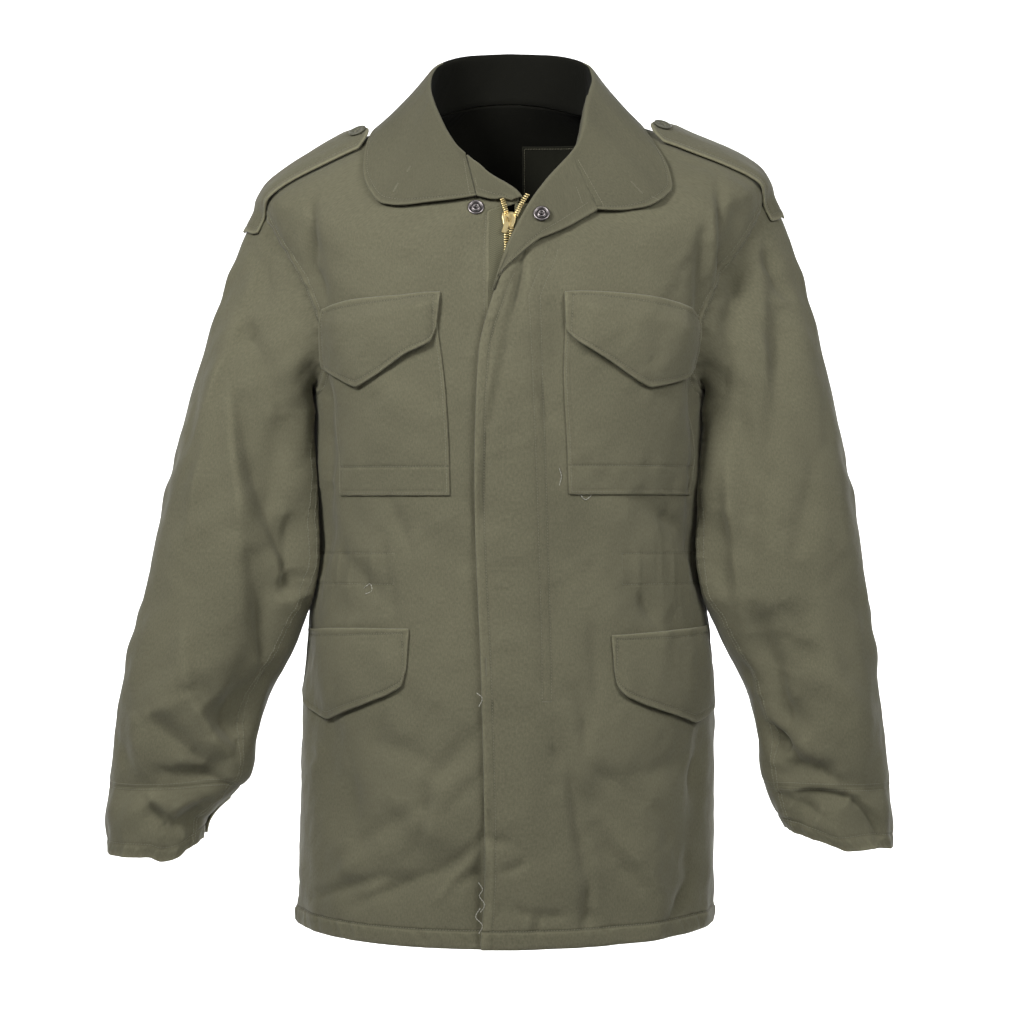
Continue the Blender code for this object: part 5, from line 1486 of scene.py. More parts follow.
def make_flap(name, table, over, over_swell, drop_size, spacing=0.0022):
    """A doubled flap, sewn down along its top edge and loose below."""
    wide = abs(table.column("top_u")[-1] - table.column("top_u")[0])
    share = shares(wide, spacing)[None, :]
    rise = shares(drop_size, spacing)[:, None]
    drop = 1 - rise
    around = table.at("top_u", share) * (1 - drop) + table.at("low_u", share) * drop
    low_edge = 0.35 * table.at("low_z", share) + 0.65 * table.straight("low_z", share)
    z = table.at("top_z", share) * (1 - drop) + low_edge * drop
    off = np.minimum(np.minimum(share, 1 - share) * wide, np.minimum(rise, drop) * drop_size)
    rest = CLOTH / 2 + LIE_GAP + DOUBLE / 2
    full = smooth(share / 0.15) * smooth((1 - share) / 0.3)
    swell = (FLAP_SWELL * np.sin(math.pi * drop * 0.8) + over_swell * smooth(drop / 0.3)) * full
    lift = rest + over * smooth(drop / 0.3) + swell + edge_relief(off)
    points, normals = on_body(around, z, lift)
    pucker = waves(around + 0.7 * z, 0.0061, 0.0097) * np.exp(-(((off - STITCH_IN) / 0.004) ** 2))
    points = points + normals * (pressed(points) + 0.00022 * pucker)[..., None]
    cut = np.stack([around, z + 0 * around], axis=-1)
    wear = np.exp(-((off / 0.0012) ** 2)) * 0.45
    item = wall(f"{name}_cloth", points, normals, DOUBLE, [material("shell")], cut, wear)
    place(item, replaces=[name])
    low, high = table.column("low_z").min(), table.column("top_z").max()
    sewn_round(f"{name}_sewing", points, normals)


def make_pocket(name, table, spacing=0.0024):
    wide = abs(table.column("outer")[0] - table.column("inner")[0])
    tall = table.column("z")[-1] - table.column("z")[0]
    share = shares(wide, spacing)[None, :]
    rise = with_lines(shares(tall, spacing, both=False), [POCKET_HEM / tall], 0.0008 / tall)[:, None]
    z = table.column("z")[0] + rise * tall
    around = table.at("inner", z) * (1 - share) + table.at("outer", z) * share
    middle = 4 * share * (1 - share) * (1 - (2 * rise - 1) ** 2)
    off = np.minimum(np.minimum(share, 1 - share) * wide, rise * tall)
    hem_off = rise * tall - POCKET_HEM
    lift = CLOTH + LIE_GAP + POCKET_SWELL * middle + edge_relief(off) * 0.5 + groove(hem_off, 0.0004, 0.0012)
    points, normals = on_body(around, z + 0 * share, lift)
    cut = np.stack([around, z + 0 * around], axis=-1)
    wear = np.exp(-((off / 0.001) ** 2)) * 0.2
    item = wall(f"{name}_cloth", points, normals, CLOTH, [material("shell")], cut, wear)
    place(item, replaces=[name])
    out = points + normals * CLOTH / 2
    hem_row = int(np.argmin(np.abs(hem_off[:, 0])))
    picks = [(slice(2, None), 2), (slice(2, None), -3), (2, slice(2, -2)), (hem_row, slice(2, -2))]
    stitches(f"{name}_sewing", [(out[pick], normals[pick]) for pick in picks])


# ---- collar and turned corners
ROLL_RADIUS = 0.003
EDGE_CLEAR = 0.0021
ROLL_REACH, ROLL_RISE = 0.001, 0.0048
COLLAR = Table("""w seam_angle x y z angle t lift bulge
    0 -0.524 -0.0352 -0.083 -0.0345 -0.212 0.96 0.0056 0.0008
    0.046 -0.64 -0.05 -0.075 -0.0205 -0.332 0.943 0.0056 0.0015
    0.085 -0.8 -0.0572 -0.064 -0.007 -0.45 0.924 0.0054 0.002
    0.144 -1.04 -0.066 -0.046 0.014 -0.545 0.908 0.005 0.0015
    0.187 -1.247 -0.0705 -0.03 0.0275 -0.62 0.905 0.0046 0.001
    0.234 -1.461 -0.072 -0.011 0.042 -0.844 0.92 0.0042 0
    0.297 -1.733 -0.068 0.013 0.058 -1.28 0.955 0.0042 -0.002
    0.343 -2.006 -0.0575 0.032 0.0675 -1.64 0.966 0.0042 -0.003
    0.413 -2.442 -0.036 0.056 0.0765 -2.25 0.969 0.0046 -0.001
    0.497 -3.14 0.001 0.072 0.0815 -3.14 0.972 0.005 0.001
    0.58 -3.744 0.039 0.06 0.078 -4.03 0.968 0.0046 -0.001
    0.647 -4.164 0.062 0.039 0.0705 -4.6 0.968 0.0042 -0.003
    0.7 -4.481 0.075 0.018 0.061 -4.94 0.963 0.0042 -0.002
    0.767 -4.79 0.078 -0.008 0.045 -5.2 0.942 0.0042 0
    0.828 -5.06 0.0735 -0.032 0.026 -5.42 0.912 0.0046 0.001
    0.85 -5.155 0.072 -0.04 0.018 -5.5 0.903 0.0048 0.0015
    0.915 -5.23 0.069 -0.06 -0.004 -5.68 0.8945 0.0052 0.002
    0.971 -5.4 0.065 -0.073 -0.025 -5.8 0.902 0.0056 0.0015
    1 -5.523 0.0625 -0.079 -0.037 -5.885 0.914 0.0056 0.0008
""")
NECK_CORNER_W = 0.85
GORGE_GAP = 0.0035
CORNER_EDGES = {
    "right": Table("""w angle t lift
    0 -0.212 0.96 0.0056
    0.28 -0.12 0.96 0.0052
    0.69 -0.04 0.964 0.005
    1 0.012 0.961 0.0046
    """),
    "left": Table("""w angle t lift
    0 0.398 0.914 0.0056
    0.234 0.245 0.903 0.0056
    0.373 0.152 0.893 0.0056
    0.538 0.056 0.872 0.0054
    0.7 0.012 0.843 0.0052
    0.84 -0.024 0.802 0.005
    1 -0.05 0.76 0.0048
    """),
}
CORNER_END_T = 0.755


def rolled_sections(seam, roll, edge, bulge, size=1.0):
    """Sections of cloth that leaves a seam, rolls over and falls to an edge, one row of points for each."""
    size = np.broadcast_to(size, (len(seam),))[:, None]
    to_seam, to_edge = unit(seam - roll), unit(edge - roll)
    crest = -unit(to_seam + to_edge)
    out = unit(to_edge - (to_edge * crest).sum(-1, keepdims=True) * crest)
    inner = roll - (crest + out) * ROLL_RADIUS * size
    outer = roll - (crest - out) * ROLL_RADIUS * size
    rows = [seam, (seam + inner) / 2, inner, roll, outer]
    for share in (0.25, 0.5, 0.75, 1.0):
        swell = out * np.asarray(bulge)[:, None] * 4 * share * (1 - share)
        rows.append(outer + (edge - outer) * share + swell)
    return np.stack(rows, axis=1)


def front_edge(side, t):
    """Ring angle of a front's free edge at ring t."""
    table = FRONT_EDGE_RIGHT if side < 0 else FRONT_EDGE_LEFT
    return angle_at(table.at("x", t), t)


def rolled_over(points, normals, sign, size=1.0):
    """Where cloth leaves a panel's edge, sewn along it, and where it rolls back over the panel."""
    size = np.broadcast_to(size, (len(points),))[:, None]
    off = unit(np.cross(np.gradient(points, axis=0), normals)) * sign
    seam = points + off * EDGE_CLEAR * (0.4 + 0.6 * size)
    return seam, seam + (off * ROLL_REACH + normals * ROLL_RISE) * size


def control_rows():
    """The rings that the panels' solids have, between which a front's free edge runs straight."""
    skirt = np.linspace(0.0, ARMPIT_T, 12)[:-1]
    turn = np.linspace(0.0, math.pi, 11)
    sleeve = ARMPIT_T + (SHOULDER_TIP_T - ARMPIT_T) * (1 - np.cos(turn)) / 2
    return np.concatenate([skirt, sleeve, YOKE_ROWS])


def edge_line(side, t):
    """A front's free edge at ring t, and the form's normals there."""
    rows = control_rows()
    angle = front_edge(side, rows)
    lift = fly_lift(angle, rows) if side > 0 else 0.0
    points, normals = body(angle, rows, lift), torso_normal(angle, rows)
    read = [np.interp(t, rows, column) for column in (*points.T, *normals.T)]
    return np.stack(read[:3], axis=-1), unit(np.stack(read[3:], axis=-1))


def neck_stations():
    """Stations of the collar, and the panel edge's points and normals there."""
    neck = np.linspace(GORGE_GAP, NECK_CORNER_W, 23)
    rows = np.array(YOKE_ROWS)
    front_t = rows[rows >= GORGE_LEFT[1]][::-1][1:]
    front_t = np.repeat(front_t, 2)
    front_t[::2] += (1.0 - GORGE_LEFT[1]) / 6
    front_t[-1] += (1.0 - GORGE_LEFT[1]) * GORGE_GAP * 2
    corner = front_edge(1, 1.0)
    angle = np.concatenate([COLLAR.at("seam_angle", neck[:-1]), [corner - 2 * math.pi]])
    points, normals = bare_torso(angle, 1.0), torso_normal(angle, 1.0)
    edge_points, edge_normals = edge_line(1, front_t)
    share = (1.0 - front_t) / (1.0 - GORGE_LEFT[1])
    w = np.concatenate([neck, NECK_CORNER_W + (1 - NECK_CORNER_W) * share])
    return w, np.concatenate([points, edge_points]), np.concatenate([normals, edge_normals])


def collar_grid():
    w, line, normals = neck_stations()
    seam, rolled = rolled_over(line, normals, 1)
    own = np.stack([COLLAR.at(axis, w) for axis in "xyz"], axis=-1)
    share = (smooth(w / 0.07) * smooth((1 - w) / 0.07))[:, None]
    edge = body(COLLAR.at("angle", w), COLLAR.at("t", w), COLLAR.at("lift", w))
    return rolled_sections(seam, rolled * (1 - share) + own * share, edge, COLLAR.at("bulge", w))


def corner_grid(name, side):
    if side < 0:
        t = np.array([row for row in YOKE_ROWS if row >= 0.963])[::-1]
        neck_x = np.linspace(GORGE_RIGHT[0] + 0.0012, FRONT_EDGE_RIGHT.at("x", 1.0), 3)[:-1]
        angle = angle_at(neck_x, 1.0)
        points, normals = bare_torso(angle, 1.0), torso_normal(angle, 1.0)
        edge_points, edge_normals = edge_line(side, t)
        points, normals = np.concatenate([points, edge_points]), np.concatenate([normals, edge_normals])
    else:
        rows = control_rows()
        t = rows[(rows > CORNER_END_T) & (rows < GORGE_LEFT[1])][::-1]
        t = np.concatenate([[GORGE_LEFT[1] - 0.0002], t])
        points, normals = edge_line(side, t)
    length = travelled(points)
    w = length / length[-1] + GORGE_GAP * (1 - length / length[-1])
    size = 1.0 if side < 0 else 0.15 + 0.85 * smooth((1 - w) / 0.35)
    seam, roll = rolled_over(points, normals, side, size)
    for _ in range(3 if side > 0 else 0):
        roll[1:-1] = (roll[:-2] + 2 * roll[1:-1] + roll[2:]) / 4
    table = CORNER_EDGES[name]
    edge_angle, edge_t = table.at("angle", w), table.at("t", w)
    on_fly = fly_lift(edge_angle, edge_t) if side > 0 else 0.0
    edge = body(edge_angle, edge_t, table.at("lift", w) * (0.5 + 0.5 * size) + on_fly)
    if side > 0:
        edge = roll + (edge - roll) * (0.12 + 0.88 * smooth((1 - w) / 0.22))[:, None]
    return rolled_sections(seam, roll, edge, 0.0008 + 0 * w, size)


def neck_piece(name, grid, normal_guide, stations, dark=False):
    """A rolled neck piece with this many stations, from its control sections."""
    rows = np.linspace(0, len(grid) - 1, stations)
    fall = np.linalg.norm(grid[:, -1] - grid[:, 4], axis=-1).mean()
    edge_shares = 1 - shares(max(fall, 0.012), 0.0024, both=False)[::-1]
    columns = np.concatenate([np.linspace(0, 4, 17)[:-1], 4 + 4 * edge_shares])
    columns = np.unique(np.round(columns, 6))
    points = resampled(grid, rows, columns)
    normals = grid_normals(points)
    if (normals[:, -8] * normal_guide).sum() < 0:
        normals = -normals
    off = np.abs(8 - columns) / 4 * fall
    lift = edge_relief(off)[None, :] * (off < 0.02)
    points = points + normals * lift[..., None]
    along = travelled(points[:, 16])
    cut = np.stack(np.broadcast_arrays(along[:, None], -off[None, :]), axis=-1)
    wear = (np.exp(-((off / 0.0015) ** 2)) * 0.5 + 0.25 * np.exp(-(((columns - 3) / 0.5) ** 2)))[None, :]
    mats = [material("collar"), material("painted_shade_lining")]
    item = wall(f"{name}_cloth", points, normals, DOUBLE, mats, cut, wear)
    if dark:
        # Painted shade: the stand's faces behind the neck roll, on both skins, go near-black.
        reach = 3.3 + 0.9 * smooth((points[..., 1] - 0.02) / 0.02)
        held = (columns[None, :] < reach) & (points[..., 1] > -0.03) & (points[..., 2] > -0.03)
        paint_shade(item, held)
    place(item, replaces=[name])
    out = points + normals * DOUBLE / 2
    lines = [(out[2:-2, -5], normals[2:-2, -5])]
    along = slice(20, -5)
    lines += [(out[k, along], normals[k, along]) for k in gorge_rows(name, points)]
    for start, end in COLLAR_TACKS if name == "collar" else ():
        spots = [nearest(points, normals, place_at) for place_at in (start, end)]
        lines += bar_tack(out[spots[0]], out[spots[1]], normals[spots[0]], wide=0.0022, close=0.0009)
    stitches(f"{name}_sewing", lines)


# Bar tacks on the collar's fall, from and to, as x and height in metres seen from the front.
COLLAR_TACKS = (
    ((-0.0878, -0.044), (-0.0905, -0.049)),
    ((-0.0985, -0.0615), (-0.1025, -0.0675)),
    ((0.111, -0.06), (0.12, -0.069)),
    ((0.1285, -0.0735), (0.1355, -0.077)),
)


def nearest(points, normals, at):
    """The grid place nearest to (x, height) among those that face the front."""
    off = np.hypot(points[..., 0] - at[0], points[..., 2] - at[1]) + (normals[..., 1] > -0.1)
    return np.unravel_index(np.argmin(off), off.shape)


def gorge_rows(name, points):
    """Rows of the grid, at its ends, whose stitches run beside the seam between collar and corner."""
    return {"collar": (3, len(points) - 4), "lapel_right": (3,), "lapel_left": (4,)}[name]


def paint_shade(item, held):
    """Gives the near-black painted shade to both skins' faces of a wall where held is true."""
    mesh = item.data
    count, flags = held.size, held.ravel()
    faces = read(mesh.loops, "vertex_index", np.int32).reshape(-1, 4)
    number = np.where(faces < count, faces, np.where(faces < 2 * count, faces - count, -1))
    inside = (number >= 0).any(axis=1) & (flags[np.maximum(number, 0)] | (number < 0)).all(axis=1)
    mesh.polygons.foreach_set("material_index", inside.astype(np.int32))


def make_neck():
    right, collar, left = corner_grid("right", -1), collar_grid(), corner_grid("left", 1)
    out = np.array([0.0, -0.7, 0.7])
    neck_piece("lapel_right", right, out, 60)
    neck_piece("collar", collar, out, 300, dark=True)
    neck_piece("lapel_left", left, out, 110)


# ---- shoulder loops and cuff tabs
LOOP_LENGTH, LOOP_WIDTH, LOOP_POINT = 0.125, 0.042, 0.016
LOOP = Table("""share t forward lift tilt
    0 0.955 0.024 0.0085 0.2
    0.35 0.92 0.024 0.0075 0.17
    0.75 0.885 0.022 0.0065 0.12
    1 0.864 0.018 0.006 0.06
""")
LOOP_TURN_DOWN = ((0.01, -0.008), (0.018, -0.026))
BUTTON_RADIUS, BUTTON_THICKNESS = 0.0085, 0.0026
TAB_Z, TAB_LENGTH, TAB_WIDTH, TAB_COLUMNS = -0.634, 0.075, 0.032, 9
TAB_TURNS = {"right": (-0.35, -1.75), "left": (-0.95, -2.35)}


def on_shoulder(side, t, forward, lift):
    """A point beside the shoulder seam: forward is the depth in front of it."""
    share = np.abs(forward) / TORSO.at("front", t)
    off = np.arcsin(np.clip(share, 0, 1) ** (1 / squareness(t))) * np.sign(forward)
    angle = side * (SIDE - off)
    return body(angle, t, lift), torso_normal(angle, t)


def loop_form(name, side, rows=7, columns=5):
    """A loop's middle points. Its back edge stands higher than its front edge."""
    share = np.linspace(0, 1, rows)[:, None]
    across = np.linspace(-0.5, 0.5, columns)[None, :] * LOOP_WIDTH
    corner = LOOP_POINT * (2 * across / LOOP_WIDTH) ** 2 * (1 - share) ** 2
    t = LOOP.at("t", share) - corner
    forward = LOOP.at("forward", share) + across
    lift = LOOP.at("lift", share) - LOOP.at("tilt", share) * across
    points, _ = on_shoulder(side, t, forward, lift)
    return np.concatenate([points, turned_down(name, side, points[-1])])


def turned_down(name, side, last):
    """The rows of a loop that lie on the top of its sleeve, past its last row on the body."""
    cap, normals, _ = sleeve_form(name, side, [SLEEVE_TOP_Z, CUFF_Z], 50, 120)
    cap, normals = cap[1:-2].reshape(-1, 3), normals[1:-2].reshape(-1, 3)
    rows = []
    for out, down in LOOP_TURN_DOWN:
        aim = last + np.array([side * out, 0, down])
        near = np.argmin(np.linalg.norm(aim[:, None] - cap[None], axis=-1), axis=1)
        rows.append(cap[near] + normals[near] * (SLEEVE_CLOTH / 2 + 0.0012 + DOUBLE / 2))
    return rows


def strap(name, grid, outward, long_size, wide_size, replaces):
    """A doubled strap from its control points, stitched along its edges."""
    rows, columns = grid.shape[:2]
    down, across = shares(long_size, 0.0022), shares(wide_size, 0.0022)
    points = resampled(grid, down * (rows - 1), across * (columns - 1))
    normals = grid_normals(points)
    if (normals * outward).sum() < 0:
        normals = -normals
    off_ends, off_sides = np.minimum(down, 1 - down) * long_size, np.minimum(across, 1 - across) * wide_size
    off = np.minimum(off_ends[:, None], off_sides[None, :])
    points = points + normals * edge_relief(off)[..., None]
    cut = np.stack(np.broadcast_arrays(across[None, :] * wide_size, down[:, None] * long_size), axis=-1)
    item = wall(name, points, normals, DOUBLE, [material("shell")], cut, np.exp(-((off / 0.0015) ** 2)) * 0.9)
    place(item, replaces=replaces)
    sewn_round(name.replace("_cloth", "_sewing"), points, normals)
    return points, normals


BUTTON_PROFILE = (
    (0, 0.4), (0.3, 0.4), (0.52, 0.45), (0.66, 0.92), (0.84, 1), (0.97, 0.72), (1, 0.2), (0.9, -0.7),
    (0.6, -1), (0, -1),
)
BUTTON_HOLE, BUTTON_HOLE_OFF = 0.0009, 0.0019  # radius, and how far off the middle each way
HOLE_PROFILE = ((0, 1), (1, 1), (1, -1), (0, -1))


def make_button(name, centre, normal):
    """A four-hole button with a raised rim, and the thread through its holes."""
    item = lathe(name, BUTTON_PROFILE, BUTTON_RADIUS, BUTTON_THICKNESS, centre, normal, "button")
    across, up, _ = facing(normal).T * BUTTON_HOLE_OFF
    for place_at in (across + up, across - up, -across - up, -across + up):
        tool = lathe("button_tool", HOLE_PROFILE, BUTTON_HOLE, 0.01, centre + place_at, normal, "button", 14)
        cut = item.modifiers.new("hole", "BOOLEAN")
        cut.operation, cut.object = "DIFFERENCE", tool
        graph = bpy.context.evaluated_depsgraph_get()
        item.data = bpy.data.meshes.new_from_object(item.evaluated_get(graph))
        item.modifiers.clear()
        bpy.data.objects.remove(tool, do_unlink=True)
    place(item, replaces=[name.replace("_round", "")])
    lines = []
    face = centre + normal * BUTTON_THICKNESS * 0.24
    for way in (up, -up):
        for shift in (-0.0003, 0.0003):
            ends = [face + way + across * part + unit(up) * shift for part in (-1.0, -0.3, 0.3, 1.0)]
            lines.append((np.array(ends), np.repeat(normal[None], 4, axis=0)))
    stitches(f"{name}_thread", lines)


def make_loops():
    for side, name in SIDES:
        loop, up = f"shoulder_loop_{name}", np.array([0, 0, 1.0])
        points, normals = strap(f"{loop}_cloth", loop_form(name, side), up, LOOP_LENGTH, LOOP_WIDTH, [loop])
        low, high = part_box(f"shoulder_button_{name}")
        centre = (np.array(low) + np.array(high)) / 2
        near = np.argmin(np.linalg.norm(points - centre, axis=-1))
        normal = normals.reshape(-1, 3)[near]
        make_button(f"shoulder_button_{name}_round", centre, normal)


def make_tabs():
    for side, name, table in ((-1, "right", SLEEVE_RIGHT), (1, "left", SLEEVE_LEFT)):
        share = np.linspace(0, 1, TAB_COLUMNS)
        free, sewn = TAB_TURNS[name]
        turn = free + (sewn - free) * share
        heights = TAB_Z + np.linspace(-0.5, 0.5, 4) * TAB_WIDTH
        points = np.array([sleeve_section(table, turn, np.full(TAB_COLUMNS, z), side) for z in heights])
        away = points - np.array([side * table.at("x", TAB_Z), table.at("y", TAB_Z), 0]) * (1, 1, 0)
        away[..., 2] = 0
        normals = unit(away)
        stand = 0.0012 * smooth((0.35 - share) / 0.35)
        lift = SLEEVE_CLOTH / 2 + 0.0016 + DOUBLE / 2 + stand
        grid, tab = (points + normals * lift[None, :, None]).swapaxes(0, 1), f"cuff_tab_{name}"
        outward = away.swapaxes(0, 1).mean(axis=(0, 1))
        strap(f"{tab}_cloth", grid, outward, TAB_LENGTH, TAB_WIDTH, [tab])


# ---- zip, snaps, patch
ZIP_X, TAPE, TAPE_TOP_Z, TAPE_FOOT_Z = 0.001, 0.001, -0.079, -0.695
TOOTH_PITCH, TOOTH_SIZE = 0.0022, (0.0044, 0.0016, 0.00066)
CHAIN_FOOT_Z, CHAIN_TOP_Z, OPEN_Z = -0.69, -0.1035, -0.1  # over the last height the chains are apart
SNAP_PROFILE = (
    (0, -0.2), (0.14, -0.2), (0.22, 0.1), (0.3, 0.85), (0.4, 0.95), (0.48, 0.4), (0.56, 0), (0.66, 0.05),
    (0.74, 0.75), (0.84, 1), (0.94, 0.85), (1, 0.3), (0.97, -0.6), (0.8, -1), (0, -1),
)
SNAP_RADIUS, SNAP_THICKNESS = 0.0075, 0.0024
NECK_PATCH = (0.014, 0.08, -0.054, -0.002)
# The chains above the slider, from it upwards: x and height for each side.
OPEN_CHAINS = {
    -1: Table("""z x
    -0.0905 -0.0012
    -0.086 -0.0022
    -0.08 -0.004
    -0.0745 -0.0058
    """),
    1: Table("""z x
    -0.092 0.0074
    -0.086 0.01
    -0.079 0.0135
    -0.073 0.0175
    """),
}


def front_at(x, z, lift):
    """A place on the front, by x and height."""
    x, z = np.broadcast_arrays(np.asarray(x, float), np.asarray(z, float))
    t = np.full(x.shape, 0.5)
    for _ in range(30):
        t = t_at(angle_at(x, t), z)
    angle = angle_at(x, t)
    return body(angle, t, lift), torso_normal(angle, t)


def make_tapes():
    z = np.linspace(TAPE_FOOT_Z, TAPE_TOP_Z, 200)[:, None]
    part = 0.003 * smooth((z + 0.104) / 0.012)
    edges = {
        "right": (-0.0166 + 0 * z, ZIP_X - 0.0024 - part),
        "left": (ZIP_X + 0.0024 + part, ZIP_X + 0.017 + 0 * z),
    }
    for side, (start, end) in edges.items():
        x = start + (end - start) * np.linspace(0, 1, 9)[None, :]
        points, normals = front_at(x, z + 0 * x, 0.0)
        cut = np.stack([x, z + 0 * x], axis=-1)
        item = wall(f"zip_tape_{side}_cloth", points, normals, TAPE, [material("tape")], cut)
        place(item, replaces=[f"zip_tape_{side}"])


def make_teeth():
    """A row of moulded teeth up each tape, parted above the slider."""
    box = np.array([(x, y, z) for x in (-1, 1) for y in (-1, 1) for z in (-1, 1)], float)
    faces = np.array([(0, 1, 3, 2), (4, 6, 7, 5), (0, 4, 5, 1), (2, 3, 7, 6), (0, 2, 6, 4), (1, 5, 7, 3)])
    for side, name in SIDES:
        table = OPEN_CHAINS[side]
        low = np.arange(CHAIN_FOOT_Z, CHAIN_TOP_Z, TOOTH_PITCH) + (0.5 * TOOTH_PITCH if side > 0 else 0.0)
        high = np.arange(table.column("z")[0], table.column("z")[-1], TOOTH_PITCH * 0.86)
        z = np.concatenate([low, high])
        shut = z < OPEN_Z
        x = np.where(shut, ZIP_X + side * 0.0022, table.at("x", z))
        middle, out = front_at(x, z, 0.0)
        lift = np.where(shut, 0.0008, 0.004)[:, None]
        up = np.stack([np.where(shut, 0.0, side * 0.45), 0 * z, 0 * z + 1.0], axis=-1)
        up = unit(up - out * (up * out).sum(-1, keepdims=True))
        across = np.cross(up, out)
        shape = box * np.array(TOOTH_SIZE)
        shape[:, 2] *= np.where(box[:, 0] * side < 0, 0.62, 1.0)
        points = middle + out * lift
        points = points[:, None] + shape[None, :, :1] * across[:, None] * 0.5
        points = points + shape[None, :, 1:2] * out[:, None] * 0.7 + shape[None, :, 2:] * up[:, None]
        number = np.arange(len(z))[:, None, None] * 8 + faces[None]
        points, number = points.reshape(-1, 3), number.reshape(-1, 4)
        item = make_mesh(f"zip_teeth_{name}", points, number, [material("brass")])
        rounding = item.modifiers.new("rounded", "BEVEL")
        rounding.width, rounding.segments = 0.00022, 1
        place(turned_out(item))


def dress_metal():
    make_tapes()
    make_teeth()
    for node in ("zip_slider", "zip_pull"):
        for held in frame["nodes"][node].material_slots:
            held.material = material("brass")
    for name in ("snap_right", "snap_left"):
        low, high = (np.array(corner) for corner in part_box(name))
        centre = (low + high) / 2
        _, normal = front_at(centre[0], centre[2], 0.0)
        item = lathe(f"{name}_socket", SNAP_PROFILE, SNAP_RADIUS, SNAP_THICKNESS, centre, normal, "gunmetal")
        place(item, replaces=[name])


def make_patch():
    """The bare patch inside the back neck, sewn on along its edges."""
    x0, x1, z0, z1 = NECK_PATCH
    share = shares(x1 - x0, 0.004)
    x = (x0 + (x1 - x0) * share)[None, :]
    z = (z0 + (z1 - z0) * shares(z1 - z0, 0.004))[:, None]
    x, z = np.broadcast_arrays(x, z)
    t = np.full(x.shape, 0.93)
    for _ in range(24):
        angle = math.pi - angle_at(x, t)
        t = t_at(angle, z)
    normals = torso_normal(angle, t)
    points = body(angle, t, -(CLOTH / 2 + 0.0025))
    cut = np.stack([x, z], axis=-1)
    item = wall("neck_patch_cloth", points, normals, 0.001, [material("patch")], cut)
    place(item, replaces=["neck_patch"])
    inner = points - normals * 0.0006
    lines = [(inner[-3, 2:-2], -normals[-3, 2:-2]), (inner[2:-2, 2], -normals[2:-2, 2])]
    stitches("neck_patch_sewing", lines)


# Ends of loose thread on the fronts, as x and height in millimetres along each.
LOOSE_THREADS = (
    ((-26, -680), (-22, -686), (-25, -692), (-20, -699), (-24, -706)),
    ((-24, -702), (-28, -710), (-22, -717), (-25, -724)),
    ((-129, -423), (-124, -419), (-122, -425), (-127, -428)),
    ((-27, -514), (-22, -519), (-25, -526)),
    ((45, -316), (47, -324), (45, -332)),
    ((62, -338), (68, -344), (74, -340)),
)


def make_loose_threads():
    lines = []
    for path in LOOSE_THREADS:
        path = np.array(path, float) / 1000
        side = 1 if path[0, 0] > -0.03 else -1
        share = np.linspace(0, len(path) - 1, 24)
        control = np.stack([path[:, 0], 0 * path[:, 0], path[:, 1]], axis=-1)[:, None]
        bent = resampled(np.concatenate([control, control], axis=1), share, np.array([0.0]))[:, 0]
        stand = 0.0026 + 0.0006 * np.sin(share * 2.3)
        _, normals = front_at(bent[:, 0], bent[:, 2], 0.0)
        angle = angle_at(bent[:, 0], t_at(angle_at(bent[:, 0], np.full(24, 0.3)), bent[:, 2]))
        t = t_at(angle, bent[:, 2])
        points = body(angle, t, front_lift(side, angle, t) + stand - 0.0012)
        lines.append((points, normals))
    stitches("loose_thread", lines, "pale_thread")


# ---- stage
LIGHT_SPREAD = math.radians(100)
CAMERA_X, CAMERA_Z = 0.0037, -0.355
SENSOR, VIEW_WIDTH = 36, 0.95232  # the sensor in mm, and what the view spans in metres at the middle's depth


def make_stage():
    """A pale sheet that is the floor and sweeps up behind, soft lights and the camera."""
    depth, wide, floor, top, bend = 4.2, 16.0, -1.45, 6.5, 2.0
    turn = np.linspace(0, SIDE, 24)
    y = np.concatenate([[-wide], depth - bend + bend * np.sin(turn), [depth]])
    z = np.concatenate([[floor], floor + bend - bend * np.cos(turn), [top]])
    x = np.linspace(-wide, wide, 9)
    points = np.stack(np.broadcast_arrays(x[None, :], y[:, None], z[:, None]), axis=-1)
    number = np.arange(points.size // 3).reshape(points.shape[:2])
    paper = make_mesh("backdrop", points.reshape(-1, 3), quads(number), [material("paper")])
    power, scene = sizes().light, bpy.context.scene
    for name, place_at, aim, wide, tall, watts in (
        ("key", (-1.15, -1.55, 0.8), (0, 0, -0.25), 0.6, 0.6, 11.3),
        ("fill", (1.3, -1.6, 0.7), (0, 0, -0.25), 0.9, 0.9, 7.4),
        ("front", (0.1, -2.9, 1.5), (0, 0, -0.25), 0.8, 0.6, 2.5),
        ("backdrop_left", (-3.76, 1.66, 2.65), (-1.33, 4.2, -0.3), 2.65, 3.54, 176),
        ("backdrop_right", (3.76, 1.66, 2.65), (1.33, 4.2, -0.3), 2.65, 3.54, 176),
    ):
        lamp = bpy.data.lights.new(name, "AREA")
        lamp.shape, lamp.size, lamp.size_y, lamp.energy = "RECTANGLE", wide, tall, watts * power
        lamp.spread = LIGHT_SPREAD
        item = bpy.data.objects.new(name, lamp)
        item.location = place_at
        item.rotation_euler = (Vector(aim) - Vector(place_at)).to_track_quat("-Z", "Y").to_euler()
        scene.collection.objects.link(item)
    world = bpy.data.worlds.new("studio")
    world.use_nodes = True
    colour, strength = world.node_tree.nodes["Background"].inputs[:2]
    colour.default_value, strength.default_value = (0.95, 0.97, 1.0, 1.0), 0.07
    scene.world = world
    scene.view_settings.view_transform = "Standard"
    camera = bpy.data.objects.new("camera", bpy.data.cameras.new("camera"))
    camera.location = (CAMERA_X, -sizes().camera_distance, CAMERA_Z)
    camera.rotation_euler = (SIDE, 0, 0)
    camera.data.sensor_width = SENSOR
    camera.data.lens = SENSOR * sizes().camera_distance / VIEW_WIDTH
    scene.collection.objects.link(camera)
    scene.camera = camera


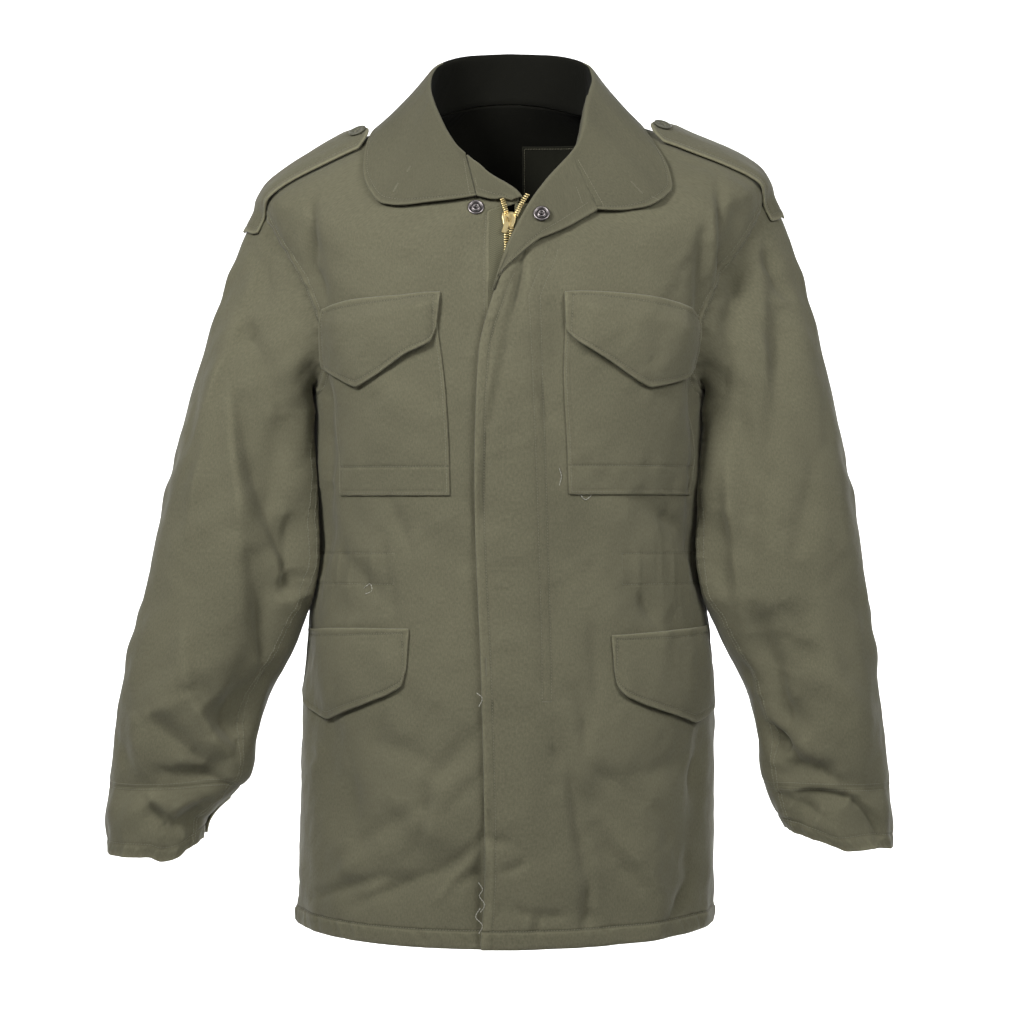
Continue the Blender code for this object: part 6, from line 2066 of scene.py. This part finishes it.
# ---- operators
class JACKET_OT_fronts(bpy.types.Operator):
    """Sew the two fronts and the storm fly"""

    bl_idname = "jacket.fronts"
    bl_label = "Fronts"

    def execute(self, context):
        make_front(-1, "front_right")
        make_front(1, "front_left")
        return {"FINISHED"}


class JACKET_OT_back(bpy.types.Operator):
    """Sew the back"""

    bl_idname = "jacket.back"
    bl_label = "Back"

    def execute(self, context):
        make_back()
        return {"FINISHED"}


class JACKET_OT_sleeves(bpy.types.Operator):
    """Sew the sleeves, cuffs and cuff tabs"""

    bl_idname = "jacket.sleeves"
    bl_label = "Sleeves"

    def execute(self, context):
        make_sleeve(-1, "right")
        make_sleeve(1, "left")
        make_tabs()
        return {"FINISHED"}


class JACKET_OT_neck(bpy.types.Operator):
    """Roll the collar and the turned neck corners"""

    bl_idname = "jacket.neck"
    bl_label = "Collar"

    def execute(self, context):
        make_neck()
        return {"FINISHED"}


class JACKET_OT_pockets(bpy.types.Operator):
    """Lay on the pockets and their flaps"""

    bl_idname = "jacket.pockets"
    bl_label = "Pockets"

    def execute(self, context):
        for side in ("right", "left"):
            make_pocket(f"chest_pocket_{side}", CHEST_POCKETS[side])
            make_flap(f"chest_flap_{side}", CHEST_FLAPS[side], CLOTH + LIE_GAP * 2, POCKET_SWELL, 0.07)
            make_flap(f"hip_flap_{side}", HIP_FLAPS[side], 0.0004, 0.0006, 0.062)
        return {"FINISHED"}


class JACKET_OT_loops(bpy.types.Operator):
    """Button down the shoulder loops"""

    bl_idname = "jacket.loops"
    bl_label = "Shoulder loops"

    def execute(self, context):
        make_loops()
        return {"FINISHED"}


class JACKET_OT_metal(bpy.types.Operator):
    """Finish the zip and the snaps"""

    bl_idname = "jacket.metal"
    bl_label = "Zip and snaps"

    def execute(self, context):
        dress_metal()
        return {"FINISHED"}


class JACKET_OT_trims(bpy.types.Operator):
    """Sew in the neck patch and leave the loose ends of thread"""

    bl_idname = "jacket.trims"
    bl_label = "Patch and threads"

    def execute(self, context):
        make_patch()
        make_loose_threads()
        return {"FINISHED"}


class JACKET_OT_stage(bpy.types.Operator):
    """Set up the backdrop, the lights and the camera"""

    bl_idname = "jacket.stage"
    bl_label = "Stage"

    def execute(self, context):
        make_stage()
        return {"FINISHED"}


class JACKET_PT_panel(bpy.types.Panel):
    """Sizes, colours and pieces of the field jacket"""

    bl_idname = "JACKET_PT_panel"
    bl_label = "Field jacket"
    bl_space_type = "VIEW_3D"
    bl_region_type = "UI"
    bl_category = "Field jacket"

    def draw(self, context):
        for group in (context.scene.jacket_colours, context.scene.jacket_sizes):
            for label in group.__annotations__:
                self.layout.prop(group, label)
        for operator in OPERATORS:
            self.layout.operator(operator.bl_idname)


OPERATORS = (
    JACKET_OT_stage, JACKET_OT_fronts, JACKET_OT_back, JACKET_OT_sleeves, JACKET_OT_neck, JACKET_OT_pockets,
    JACKET_OT_loops, JACKET_OT_metal, JACKET_OT_trims,
)
CLASSES = (JacketColours, JacketSizes, *OPERATORS, JACKET_PT_panel)


def register():
    for kind in CLASSES:
        bpy.utils.register_class(kind)
    bpy.types.Scene.jacket_colours = bpy.props.PointerProperty(type=JacketColours)
    bpy.types.Scene.jacket_sizes = bpy.props.PointerProperty(type=JacketSizes)


def unregister():
    del bpy.types.Scene.jacket_colours, bpy.types.Scene.jacket_sizes
    for kind in reversed(CLASSES):
        bpy.utils.unregister_class(kind)


def main():
    register()
    for operator in OPERATORS:
        getattr(bpy.ops.jacket, operator.bl_idname.split(".")[1])()


if __name__ == "__main__":
    main()
